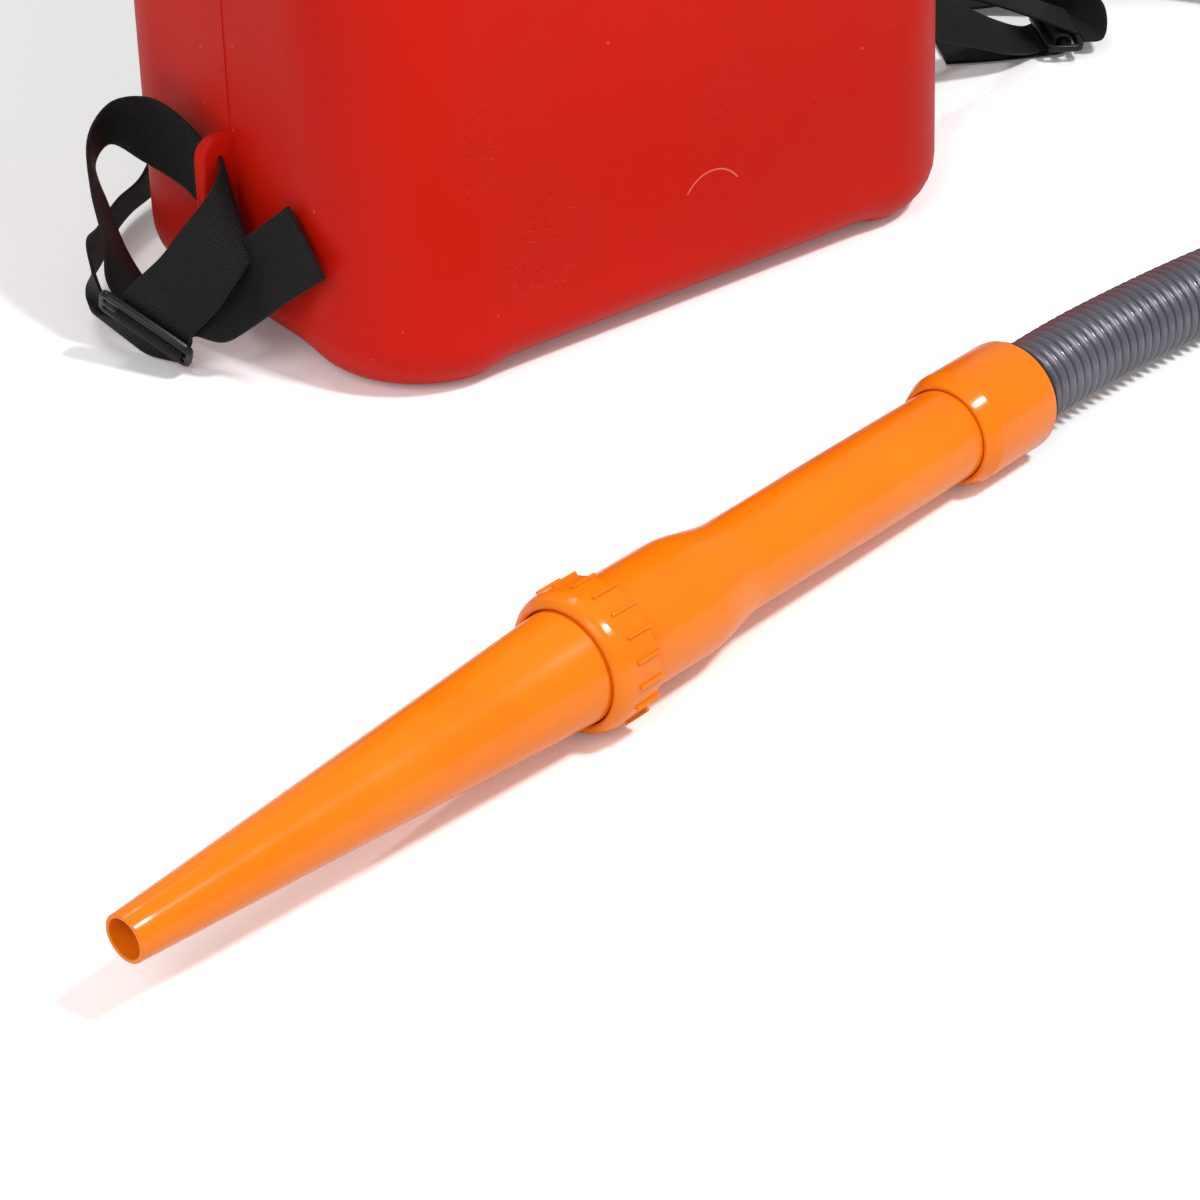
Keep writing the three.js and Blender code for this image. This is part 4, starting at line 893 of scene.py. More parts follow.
def turned(name: str, profile: Profile, sides: int = 96) -> Piece:
    """Turns a closed wall from a profile, ring by ring from a circle.

    Args:
        name: Name of the piece.
        profile: Closed list of radius and height, outside first; its last ring meets the first.
        sides: Sides round it.

    Returns:
        The turned piece, about Z.
    """
    first = profile[0]
    deselect()
    bpy.ops.mesh.primitive_circle_add(vertices=sides, radius=first[0], location=(0, 0, first[1]))
    made = bpy.context.active_object
    made.name = name
    settle(made)
    with editing(made, Part.EDGE):
        bpy.ops.mesh.select_all(action="SELECT")
        for (radius, height), (wider, higher) in zip(profile, [*profile[1:], first]):
            bpy.ops.mesh.extrude_edges_move(TRANSFORM_OT_translate={"value": (0, 0, higher - height)})
            share = wider / radius
            bpy.ops.transform.resize(value=(share, share, 1), center_override=(0, 0, higher))
        bpy.ops.mesh.select_all(action="SELECT")
        bpy.ops.mesh.remove_doubles(threshold=0.000005)
        face_outward()
    return made


def rounded(profile: Profile, radius: float, steps: int = 4) -> list[tuple[float, float]]:
    """Rounds the corners of a closed profile.

    Args:
        profile: Points of radius and height.
        radius: Radius of each rounding, held to 0.45 of the shorter side.
        steps: Steps in each rounding.

    Returns:
        The rounded profile.
    """
    made: list[tuple[float, float]] = []
    points = [Vector(p) for p in profile]
    for k, corner in enumerate(points):
        before, after = points[k - 1] - corner, points[(k + 1) % len(points)] - corner
        bend = before.angle(-after)
        if bend < 0.15:
            made.append(tuple(corner))
            continue
        reach = min(radius * math.tan(bend / 2), 0.45 * min(before.length, after.length))
        start, end = corner + before.normalized() * reach, corner + after.normalized() * reach
        for step in range(steps + 1):
            t = step / steps
            made.append(tuple(start * (1 - t) ** 2 + corner * 2 * t * (1 - t) + end * t ** 2))
    return made


def join_all(pieces: Sequence[Piece], name: str) -> Piece:
    """Joins pieces into the first one.

    Args:
        pieces: The pieces.
        name: Name of the result.

    Returns:
        The joined piece.
    """
    activate(pieces[0])
    for other in pieces[1:]:
        other.select_set(True)
    if len(pieces) > 1:
        bpy.ops.object.join()
    pieces[0].name = name
    return pieces[0]


def copy_of(node: str, name: str) -> Piece:
    """Copies a CAD node's mesh into a new piece, with its corners merged.

    Args:
        node: Name of the CAD node.
        name: Name of the new piece.

    Returns:
        The new piece.
    """
    source = frame["nodes"][node]
    made = bpy.data.objects.new(name, source.data.copy())
    bpy.context.scene.collection.objects.link(made)
    with editing(made, Part.VERT):
        bpy.ops.mesh.select_all(action="SELECT")
        bpy.ops.mesh.remove_doubles(threshold=0.00001)
        bpy.ops.mesh.dissolve_limited(angle_limit=math.radians(0.5))
    return made


def from_mesh(name: str, corners: Sequence[Point], faces: Sequence[Sequence[int]]) -> Piece:
    """Makes a piece from corners and faces.

    Args:
        name: Name of the piece.
        corners: The corners, in metres.
        faces: The corners of each face, by number.

    Returns:
        The piece.
    """
    mesh = bpy.data.meshes.new(name)
    mesh.from_pydata(corners, [], faces)
    made = bpy.data.objects.new(name, mesh)
    bpy.context.scene.collection.objects.link(made)
    return made


def from_rings(name: str, rings: Sequence[Sequence[Vector]]) -> Piece:
    """Makes a tube-like mesh, closed at both ends, from rings with as many points each.

    Args:
        name: Name of the piece.
        rings: The rings, in order.

    Returns:
        The piece.
    """
    count = len(rings[0])
    corners = [tuple(p) for ring in rings for p in ring]
    faces = [
        (k * count + i, k * count + (i + 1) % count, (k + 1) * count + (i + 1) % count, (k + 1) * count + i)
        for k in range(len(rings) - 1) for i in range(count)]
    faces += [tuple(reversed(range(count))), tuple(range(len(corners) - count, len(corners)))]
    return from_mesh(name, corners, faces)


def sweep(path: Sequence[Vector], side: Vector, sides: int,
          radius: Callable[[int], float]) -> list[list[Vector]]:
    """Lays a ring round each point of a path.

    Args:
        path: The points.
        side: A way across the path's start.
        sides: Points on each ring.
        radius: Gives the radius of a ring by its number.

    Returns:
        The rings.
    """
    rings = []
    turns = [2 * math.pi * i / sides for i in range(sides)]
    for k, centre in enumerate(path):
        along = (path[min(k + 1, len(path) - 1)] - path[max(k - 1, 0)]).normalized()
        side = (side - along * side.dot(along)).normalized()
        other = along.cross(side)
        reach = radius(k)
        rings.append([centre + side * reach * math.cos(a) + other * reach * math.sin(a) for a in turns])
    return rings


def spline(points: Sequence[Point], steps: int) -> list[Vector]:
    """Runs a centripetal curve through points.

    Args:
        points: The points, in metres.
        steps: Steps between two points.

    Returns:
        Points along the curve.
    """
    known = [Vector(p) for p in points]
    ends = [2 * known[0] - known[1], *known, 2 * known[-1] - known[-2]]
    made = []
    for k in range(1, len(ends) - 2):
        p0, p1, p2, p3 = ends[k - 1:k + 3]
        gaps = [max((b - a).length ** 0.5, 1e-6) for a, b in ((p0, p1), (p1, p2), (p2, p3))]
        first = ((p1 - p0) / gaps[0] - (p2 - p0) / (gaps[0] + gaps[1]) + (p2 - p1) / gaps[1]) * gaps[1]
        last = ((p2 - p1) / gaps[1] - (p3 - p1) / (gaps[1] + gaps[2]) + (p3 - p2) / gaps[2]) * gaps[1]
        for step in range(steps):
            t = step / steps
            made.append(p1 + first * t + (3 * (p2 - p1) - 2 * first - last) * t ** 2
                        + (2 * (p1 - p2) + first + last) * t ** 3)
    return [*made, known[-1]]


def even_path(line: Sequence[Vector], count: int) -> list[Vector]:
    """Spaces points evenly along a line.

    Args:
        line: The line's points.
        count: How many points to give.

    Returns:
        The even points, both ends among them.
    """
    lengths = [0.0]
    for a, b in zip(line, line[1:]):
        lengths.append(lengths[-1] + (b - a).length)
    made, k = [], 0
    for n in range(count):
        want = lengths[-1] * n / (count - 1)
        while k < len(line) - 2 and lengths[k + 1] < want:
            k += 1
        span = max(lengths[k + 1] - lengths[k], 1e-9)
        made.append(line[k].lerp(line[k + 1], min((want - lengths[k]) / span, 1.0)))
    return made


def at(x: float, y: float, z: float) -> Vector:
    """A point given in millimetres, in metres."""
    return Vector((x, y, z)) * MM


def scaled(points: Sequence[Point]) -> list[Vector]:
    """Points given in millimetres, in metres."""
    return [at(*point) for point in points]


class Bench:
    """Hands each finished piece its material, its body and the CAD nodes that it stands for."""

    def __init__(self) -> None:
        """Makes the materials."""
        self.wardrobe = Wardrobe()

    def finish(self, piece: Piece, slot: Slot, body: str, *nodes: str) -> Piece:
        """Finishes a piece.

        Args:
            piece: The piece, in place.
            slot: Its material slot.
            body: The CAD body that it rides on.
            nodes: The CAD nodes that it stands for.

        Returns:
            The piece.
        """
        self.wardrobe.dress(piece, slot)
        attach(piece, body)
        if nodes:
            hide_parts(*nodes)
        log.info("%s: %d faces", piece.name, len(piece.data.polygons))
        return piece

    def refine(self, node: str, slot: Slot, body: str, edge: float = 0.4, segments: int = 2) -> Piece:
        """Stands a copy of a CAD node with rounded edges in its place.

        Args:
            node: The CAD node.
            slot: The material slot.
            body: The body it rides on.
            edge: Width of the rounding, in millimetres.
            segments: Steps across the rounding.

        Returns:
            The new piece.
        """
        made = copy_of(node, node + "_body")
        soften(made, edge * MM, segments)
        smooth(made, 35)
        return self.finish(made, slot, body, node)

    def keep(self, slot: Slot, *nodes: str) -> None:
        """Dresses CAD nodes that stay as they are.

        Args:
            slot: Their material slot.
            nodes: Their names.
        """
        for node in nodes:
            shown = frame["nodes"][node]
            shown.data.materials.clear()
            shown.data.materials.append(self.wardrobe.materials[slot])


# ------------------------------------------------------------------ studio


@dataclass(frozen=True)
class StudioSize:
    """Where the camera and the lights stand, in metres, degrees and watts."""

    eye: Point = (-0.894824, -1.142259, 0.716503)
    azimuth: float = -39.048
    elevation: float = 33.193
    lens: float = 93.02
    subject: Point = (-0.05, -0.18, 0.1)
    key_azimuth: float = 290.0
    key_elevation: float = 58.0
    key_distance: float = 2.6
    key_size: tuple[float, float] = (0.32, 0.32)
    key_watts: float = 43.0
    fill_azimuth: float = 205.0
    fill_elevation: float = 38.0
    fill_size: tuple[float, float] = (1.3, 1.3)
    fill_watts: float = 22.0
    top_place: Point = (-0.25, 0.9, 2.0)
    top_size: tuple[float, float] = (1.1, 0.16)
    top_watts: float = 8.0
    sky: float = 0.34
    floor_glow: float = 0.1
    floor_tone: float = 0.83
    floor_shown: float = 1.15


class Studio:
    """The camera, the pale floor and the soft lights."""

    def __init__(self, size: StudioSize) -> None:
        """Keeps the places."""
        self.size = size

    def camera(self) -> None:
        """Adds the camera and makes it the scene's own."""
        az, el = math.radians(self.size.azimuth), math.radians(self.size.elevation)
        right = Vector((math.cos(az), math.sin(az), 0))
        back = Vector((math.sin(az) * math.cos(el), -math.cos(az) * math.cos(el), math.sin(el)))
        turn = Matrix((right, back.cross(right), back)).transposed().to_4x4()
        data = bpy.data.cameras.new("camera")
        data.lens = self.size.lens
        data.sensor_width = 36.0
        data.clip_start = 0.05
        holder = bpy.data.objects.new("camera", data)
        bpy.context.scene.collection.objects.link(holder)
        holder.matrix_world = Matrix.Translation(self.size.eye) @ turn
        bpy.context.scene.camera = holder

    def floor(self) -> None:
        """Adds the floor, which shows white but lights nothing more than a white floor would."""
        deselect()
        bpy.ops.mesh.primitive_plane_add(size=14, location=(0, 0, 0))
        floor = bpy.context.active_object
        floor.name = "floor"
        material = bpy.data.materials.new("floor")
        material.use_nodes = True
        wire = Wiring(material.node_tree)
        shader = material.node_tree.nodes["Principled BSDF"]
        shader.inputs["Roughness"].default_value = 0.75
        shader.inputs["Specular IOR Level"].default_value = 0.2
        shader.inputs["Emission Color"].default_value = (1, 1, 1, 1)
        rays = wire.add("LightPath")
        mix = wire.add("Mix", data_type="FLOAT", in_2=self.size.floor_tone, in_3=self.size.floor_shown)
        wire.join(rays.outputs["Is Camera Ray"], mix.inputs[0])
        wire.join(mix.outputs[0], shader.inputs["Base Color"])
        wire.join(wire.math("MULTIPLY", rays.outputs["Is Camera Ray"], self.size.floor_glow),
                  shader.inputs["Emission Strength"])
        floor.data.materials.append(material)

    def sky(self) -> None:
        """Lights the scene evenly, and shows white to the camera."""
        world = bpy.data.worlds.new("sky")
        world.use_nodes = True
        bpy.context.scene.world = world
        wire = Wiring(world.node_tree)
        rays = wire.add("LightPath")
        extra = wire.math("MULTIPLY", rays.outputs["Is Camera Ray"], 1.0 - self.size.sky)
        strength = wire.math("ADD", extra, self.size.sky)
        shader = world.node_tree.nodes["Background"]
        shader.inputs["Color"].default_value = (1, 1, 1, 1)
        wire.join(strength, shader.inputs["Strength"])

    def softbox(self, name: str, place: Vector, size: tuple[float, float], watts: float) -> None:
        """Adds a rectangular light that faces the subject.

        Args:
            name: Name of the light.
            place: Where it hangs, in metres.
            size: Its width and height.
            watts: Its power.
        """
        data = bpy.data.lights.new(name, "AREA")
        data.shape = "RECTANGLE"
        data.size, data.size_y = size
        data.energy = watts
        holder = bpy.data.objects.new(name, data)
        bpy.context.scene.collection.objects.link(holder)
        holder.location = place
        holder.rotation_euler = (place - Vector(self.size.subject)).to_track_quat("Z", "Y").to_euler()

    def lights(self) -> None:
        """Hangs the key light, the fill light and the long overhead light."""
        size = self.size
        for name, azimuth, elevation, spread, watts in (
                ("key", size.key_azimuth, size.key_elevation, size.key_size, size.key_watts),
                ("fill", size.fill_azimuth, size.fill_elevation, size.fill_size, size.fill_watts)):
            az, el = math.radians(azimuth), math.radians(elevation)
            towards = Vector((math.cos(az) * math.cos(el), math.sin(az) * math.cos(el), math.sin(el)))
            self.softbox(name, Vector(size.subject) + towards * size.key_distance, spread, watts)
        self.softbox("overhead", Vector(size.top_place), size.top_size, size.top_watts)

    def build(self) -> None:
        """Sets up the whole studio."""
        bpy.context.scene.view_settings.view_transform = "Standard"
        self.camera()
        self.floor()
        self.sky()
        self.lights()
        log.info("studio ready")


# ------------------------------------------------------------------ tank


@dataclass(frozen=True)
class TankSize:
    """Sizes of the tank in millimetres; its neck's top and its lugs' reach come from the frame."""

    half_width: float = 191.0
    half_depth: float = 123.0
    height: float = 484.0
    lean: float = 0.075
    corner: float = 62.0
    foot_round: float = 28.0
    shoulder: float = 50.0
    wall: float = 3.2
    foot_rise: float = 4.5
    foot_length: float = 57.0
    foot_blend: float = 24.0
    pocket_inset: float = 34.0
    pocket_top: float = 8.3
    ledge_inset: float = 46.0
    ledge_top: float = 12.3
    neck_radius: float = 72.0
    neck_wall: float = 4.0
    seam: float = 0.45
    seam_width: float = 1.6
    lug_low: float = 50.0
    lug_high: float = 108.0
    lug_half: float = 4.0
    lug_root: float = 6.0
    lug_corner: float = 11.0
    lug_edge: float = 2.6
    slot_near: float = 195.5
    slot_far: float = 204.5
    slot_low: float = 57.0
    slot_high: float = 101.0
    slot_corner: float = 3.6
    boss_start: float = 150.0
    boss_end: float = 196.0
    outlet_y: float = 82.0
    outlet_z: float = 66.0
    outlet_boss: float = 35.0
    outlet_bore: float = 18.1
    rod_z: float = 134.9
    rod_boss: float = 10.0
    rod_bore: float = 3.5
    panel_low: Point = (183.0, -37.0, 124.0)
    panel_high: Point = (193.0, 37.0, 162.0)
    funnel_top: float = 214.0
    funnel_wall: float = 3.0
    throat: Point = (70.0, 82.0, 154.0)
    throat_radius: float = 29.5
    spout: float = 12.0


class Tank:
    """The blow-moulded hopper tank with its lugs, neck, bosses and feet."""

    def __init__(self, bench: Bench, size: TankSize) -> None:
        """Keeps the bench and the sizes, and finds the neck.

        Args:
            bench: The bench.
            size: The sizes.
        """
        self.bench = bench
        self.size = size
        self.neck_y = size.lean * size.height / 2
        self.neck_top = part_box("tank")[1].z / MM

    def shell(self, name: str, inset: float, corner: float, low: float, foot: float, high: float,
              shoulder: float, steps: tuple[int, int, int]) -> Piece:
        """Makes one rounded, leaning box of the tank.

        Args:
            name: Name of the piece.
            inset: How far its walls stand inside the outer ones.
            corner: Radius of its upright corners.
            low: Height of its underside.
            foot: Radius under its walls, or 0.
            high: Height of its top.
            shoulder: Radius over its walls.
            steps: Steps in the corner, foot and shoulder rounds.

        Returns:
            The closed body.
        """
        size = self.size
        x, y = size.half_width - inset, size.half_depth - inset
        made = block(name, at(-x, -y, low), at(x, y, high))
        with editing(made, Part.VERT):
            for level in (low, high):
                pick(made, Part.VERT, lambda v, z=level: v.co.y < 0 and abs(v.co.z - z * MM) < MM)
                bpy.ops.transform.translate(value=(0, size.lean * level * MM, 0))
            pick(made, Part.EDGE, upright)
            bevel_picked(corner * MM, steps[0])
            if foot:
                pick(made, Part.EDGE, lambda e: all(v.co.z < (low + 0.01) * MM for v in e.verts)
                     and any(abs(f.normal.z) < 0.5 for f in e.link_faces))
                bevel_picked(foot * MM, steps[1])
            pick(made, Part.EDGE, lambda e: all(v.co.z > (high - 0.01) * MM for v in e.verts)
                 and any(abs(f.normal.z) < 0.5 for f in e.link_faces))
            bevel_picked(shoulder * MM, steps[2])
            if foot:
                self.cross_cuts()
            face_outward()
        return made

    def cross_cuts(self) -> None:
        """Cuts the walls of the piece in edit mode, so that the blend of the feet has points to follow."""
        size, cuts = self.size, 6
        for axis, half in enumerate((size.half_width, size.half_depth)):
            for side in (-1, 1):
                for step in range(cuts + 1):
                    place, normal = [0.0, 0.0, 0.0], [0, 0, 0]
                    place[axis] = side * (half - size.foot_length - size.foot_blend * step / cuts) * MM
                    normal[axis] = 1
                    bpy.ops.mesh.select_all(action="SELECT")
                    bpy.ops.mesh.bisect(plane_co=place, plane_no=normal)

    def raise_edge(self, piece: Piece) -> None:
        """Lifts the rim between the corner feet, smoothly from each foot.

        Args:
            piece: The tank's shell.
        """
        size = self.size
        for vertex in piece.data.vertices:
            fade = 1 - min(vertex.co.z / (size.foot_round * MM), 1)
            shares = [
                min(max((half - size.foot_length - abs(value) / MM) / size.foot_blend, 0), 1)
                for half, value in ((size.half_width, vertex.co.x), (size.half_depth, vertex.co.y))]
            share = max(s * s * (3 - 2 * s) for s in shares)
            vertex.co.z += share * fade * size.foot_rise * MM

    def lug(self, side: int) -> Piece:
        """Makes the strap lug of one side, with its slot and rounded rim.

        Args:
            side: -1 for the left lug, 1 for the right.

        Returns:
            The lug.
        """
        size = self.size
        root, reach = size.half_width - size.lug_root, -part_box("tank")[0].x / MM
        near, far = sorted((side * root, side * reach))
        body = block("lug", at(near, -size.lug_half, size.lug_low), at(far, size.lug_half, size.lug_high))
        round_edges(body, lambda e: depth_of(e) > size.lug_half and
                    all(abs(v.co.x) > (reach - 1) * MM for v in e.verts), size.lug_corner, 6)
        slot = block("slot", at(size.slot_near * side, -9, size.slot_low),
                     at(size.slot_far * side, 9, size.slot_high))
        round_edges(slot, lambda e: depth_of(e) > size.lug_half, size.slot_corner, 4)
        cut(body, slot)
        soften(body, size.lug_edge * MM, 4, 50)
        return body

    def on_wall(self, name: str, start: float, end: float, z: float, radius: float, sides: int) -> Piece:
        """Makes a bar through the right wall, level with the outlet.

        Args:
            name: Name of the piece.
            start: Place of its inner end.
            end: Place of its outer end.
            z: Its height.
            radius: Its radius.
            sides: Sides round it.

        Returns:
            The bar.
        """
        y = self.size.outlet_y
        return bar(name, at(start, y, z), at(end, y, z), radius * MM, sides)

    def bosses(self) -> list[Piece]:
        """Makes the raised faces for the outlet and the gate's rod.

        Returns:
            Both bosses.
        """
        size = self.size
        made = [
            self.on_wall(name, size.boss_start, size.boss_end, z, radius, sides)
            for name, z, radius, sides in (("outlet_boss", size.outlet_z, size.outlet_boss, 72),
                                           ("rod_boss", size.rod_z, size.rod_boss, 40))]
        for boss in made:
            soften(boss, 1.6 * MM, 3, 50)
        return made

    def seam_plate(self) -> Piece:
        """Makes the thin plate whose rim stands out as the mould's parting line.

        Returns:
            The plate.
        """
        size = self.size
        grow = size.seam
        made = block("seam", at(-size.half_width - grow, -size.seam_width / 2, size.foot_rise - grow),
                     at(size.half_width + grow, size.seam_width / 2, size.height + grow))
        with editing(made, Part.EDGE):
            for radius, test in ((size.foot_round, lambda z: z < 0.1), (size.shoulder, lambda z: z > 0.1)):
                pick(made, Part.EDGE, lambda e, t=test: t(middle(e).z) and
                     depth_of(e) > 0.5 * size.seam_width and
                     abs(abs(middle(e).x) - (size.half_width + grow) * MM) < MM)
                bevel_picked((radius + grow) * MM, 14)
        return made

    def cutters(self) -> list[Piece]:
        """Makes every tool that is cut out of the body.

        Returns:
            The tools.
        """
        size, start, end = self.size, 130, 198
        pocket = self.flat_cutter("pocket", size.pocket_inset, -5, size.pocket_top)
        ledge = self.flat_cutter("ledge", size.ledge_inset, 4, size.ledge_top + 3)
        inner = self.shell("inner", size.wall, size.corner - size.wall, size.ledge_top, 0,
                           size.height - size.wall, size.shoulder - size.wall, (14, 1, 8))
        round_edges(inner, lambda e: all(v.co.z < (size.ledge_top + 0.1) * MM for v in e.verts), 10, 4)
        neck = bar("neck_bore", at(0, self.neck_y, size.height - 40), at(0, self.neck_y, self.neck_top + 5),
                   (size.neck_radius - size.neck_wall) * MM, 96)
        outlet = self.on_wall("outlet_bore", start, end, size.outlet_z, size.outlet_bore, 48)
        rod = self.on_wall("rod_bore", start, end, size.rod_z, size.rod_bore, 24)
        panel = block("panel_opening", at(*size.panel_low), at(*size.panel_high))
        return [inner, pocket, ledge, neck, outlet, rod, panel]

    def flat_cutter(self, name: str, inset: float, low: float, high: float) -> Piece:
        """Makes a straight-sided tool with the base's outline, moved in.

        Args:
            name: Name of the tool.
            inset: How far it stands inside the base's outline.
            low: Its lowest height.
            high: Its highest height.

        Returns:
            The tool.
        """
        size = self.size
        made = block(name, at(-size.half_width + inset, -size.half_depth + inset, low),
                     at(size.half_width - inset, size.half_depth - inset, high))
        round_edges(made, upright, max(size.corner - inset, 6), 8)
        return made

    def funnel(self) -> Piece:
        """Makes the hopper's sloping floor, from the walls down to the throat.

        Returns:
            The floor.
        """
        size = self.size
        x, y = size.half_width - size.wall + 1, size.half_depth - size.wall + 1
        front, throat = -y + size.lean * size.funnel_top, size.throat[2]
        made = block("funnel", at(-x, front, size.funnel_top - 1), at(x, y, size.funnel_top + 1))
        with editing(made, Part.EDGE):
            pick(made, Part.EDGE, upright)
            bevel_picked((size.corner - size.wall) * MM, 13)
            pick(made, Part.FACE, lambda f: abs(f.normal.z) < 0.5 or f.normal.z < -0.5)
            bpy.ops.mesh.delete(type="FACE")
            bpy.ops.mesh.select_mode(type="FACE")
            bpy.ops.mesh.select_all(action="SELECT")
            bpy.ops.mesh.delete(type="ONLY_FACE")
            bpy.ops.mesh.primitive_circle_add(vertices=56, radius=size.throat_radius * MM,
                                              location=at(*size.throat))
            bpy.ops.mesh.select_all(action="SELECT")
            bpy.ops.mesh.bridge_edge_loops()
            pick(made, Part.EDGE, lambda e: all(v.co.z < (throat + 1) * MM for v in e.verts))
            bpy.ops.mesh.extrude_edges_move(TRANSFORM_OT_translate={"value": at(0, 0, -size.spout)})
            face_outward()
        modify(made, "SOLIDIFY", thickness=size.funnel_wall * MM, offset=0)
        return made

    def build(self) -> None:
        """Builds the whole tank as one moulded piece."""
        size = self.size
        tank = self.shell("tank_body", 0, size.corner, 0, size.foot_round, size.height, size.shoulder,
                          (16, 8, 12))
        self.raise_edge(tank)
        neck = bar("neck", at(0, self.neck_y, size.height - 20), at(0, self.neck_y, self.neck_top),
                   size.neck_radius * MM, 96)
        for added in [self.seam_plate(), neck, *self.bosses(), self.lug(-1), self.lug(1)]:
            cut(tank, added, "UNION")
        for tool in self.cutters():
            cut(tank, tool)
        tank = join_all([tank, self.funnel()], "tank_body")
        smooth(tank, 30)
        modify(tank, "WEIGHTED_NORMAL", keep_sharp=True, weight=80)
        self.bench.finish(tank, Slot.TANK, "blower", "tank")


@dataclass(frozen=True)
class LidSize:
    """Sizes of the filler lid in millimetres."""

    radius: float = 80.0
    bottom: float = 486.4
    top: float = 516.4
    grips: int = 24
    rib_width: float = 9.0
    rib_depth: float = 2.4
    edge: float = 4.0
    crown_radius: float = 56.0
    crown_depth: float = 1.6
    crown_slope: float = 4.0
    roof: float = 4.0
    bore: float = 72.7
    rib_root: float = 7.0
    rib_rise: float = 0.4
    rib_round: float = 1.6


class Lid:
    """The screw-on filler lid with its grip ribs."""

    def __init__(self, bench: Bench, size: LidSize) -> None:
        """Keeps the bench and the sizes."""
        self.bench = bench
        self.size = size

    def rib(self) -> Piece:
        """Makes one upright grip rib on the +X side of the rim.

        Returns:
            The rib.
        """
        size = self.size
        made = block("rib", at(size.radius - size.rib_root, -size.rib_width / 2, size.bottom + 1),
                     at(size.radius + size.rib_rise, size.rib_width / 2, size.top - size.edge - 1.5))
        round_edges(made, lambda e: middle(e).x > (size.radius - 1) * MM, size.rib_round, 4)
        return made

    def build(self) -> None:
        """Builds the lid, its seal and its ribs."""
        size = self.size
        low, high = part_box("filler_lid")
        centre = (low + high) / 2
        body, centre_gap = size.radius - size.rib_depth, 0.001
        hollow, floor = size.top - size.crown_depth, size.top - size.roof
        outline = [(centre_gap, hollow), (size.crown_radius - size.crown_slope, hollow),
                   (size.crown_radius, size.top), (body, size.top), (body, size.bottom),
                   (size.bore, size.bottom), (size.bore, floor), (centre_gap, floor)]
        lid = turned("lid_body", rounded(in_mm(outline), size.edge * MM, 5), 96)
        ribs = around(self.rib(), size.grips, math.pi / size.grips)
        lid = join_all([lid, *ribs], "lid_body")
        lid.location = (centre.x, centre.y, 0)
        settle(lid)
        smooth(lid, 35)
        self.bench.finish(lid, Slot.BLACK, "lid", "filler_lid")
        self.bench.refine("lid_seal", Slot.RUBBER, "lid", 0.3)


# ------------------------------------------------------------------ wand


@dataclass(frozen=True)
class WandSize:
    """Sizes of the wand in millimetres, along its axis from just ahead of the collar nut."""

    tip: float = -224.8
    tip_radius: float = 9.7
    base: float = 7.5
    base_radius: float = 24.7
    nozzle_rings: tuple[float, ...] = (-214.0, -150.0, -80.0)
    straight_bore: float = 70.0
    flange_radius: float = 27.2
    flange_length: float = 4.0
    wall: float = 1.8
    collar_front: float = 1.5
    collar_rear: float = 25.0
    collar_radius: float = 31.75
    collar_ribs: int = 18
    shoulder: Profile = ((3.6, 0.3), (2.0, 1.6), (0.9, 3.4), (0.2, 6.0))
    rib_width: float = 1.4
    rib_depth: float = 1.25
    rib_length: float = 13.2
    bore: float = 25.0
    thread_bore: float = 28.0
    rear_bore: float = 26.4
    bulge_radius: float = 25.9
    tube_start: float = 14.2
    thread_pitch: float = 3.2
    thread_rise: float = 1.2
    thread_turns: int = 3
    bulge_end: float = 68.0
    waist: float = 104.0
    waist_radius: float = 20.8
    grip_radius: float = 21.3
    grip_start: float = 190.0
    grip_rings: tuple[float, ...] = (205.0, 220.0, 240.0)
    tube_end: float = 285.0
    tube_wall: float = 2.2
    flutes: int = 10
    flute_depth: float = 0.2
    flute_start: float = 128.0
    flute_end: float = 248.2
    cuff_start: float = 252.2
    cuff_end: float = 302.5
    cuff_radius: float = 26.5
    cuff_lip: float = 8.0
    seal_radius: float = 25.1
    seal_bore: float = 15.0
    seal_length: float = 2.0
    gap: float = 0.3


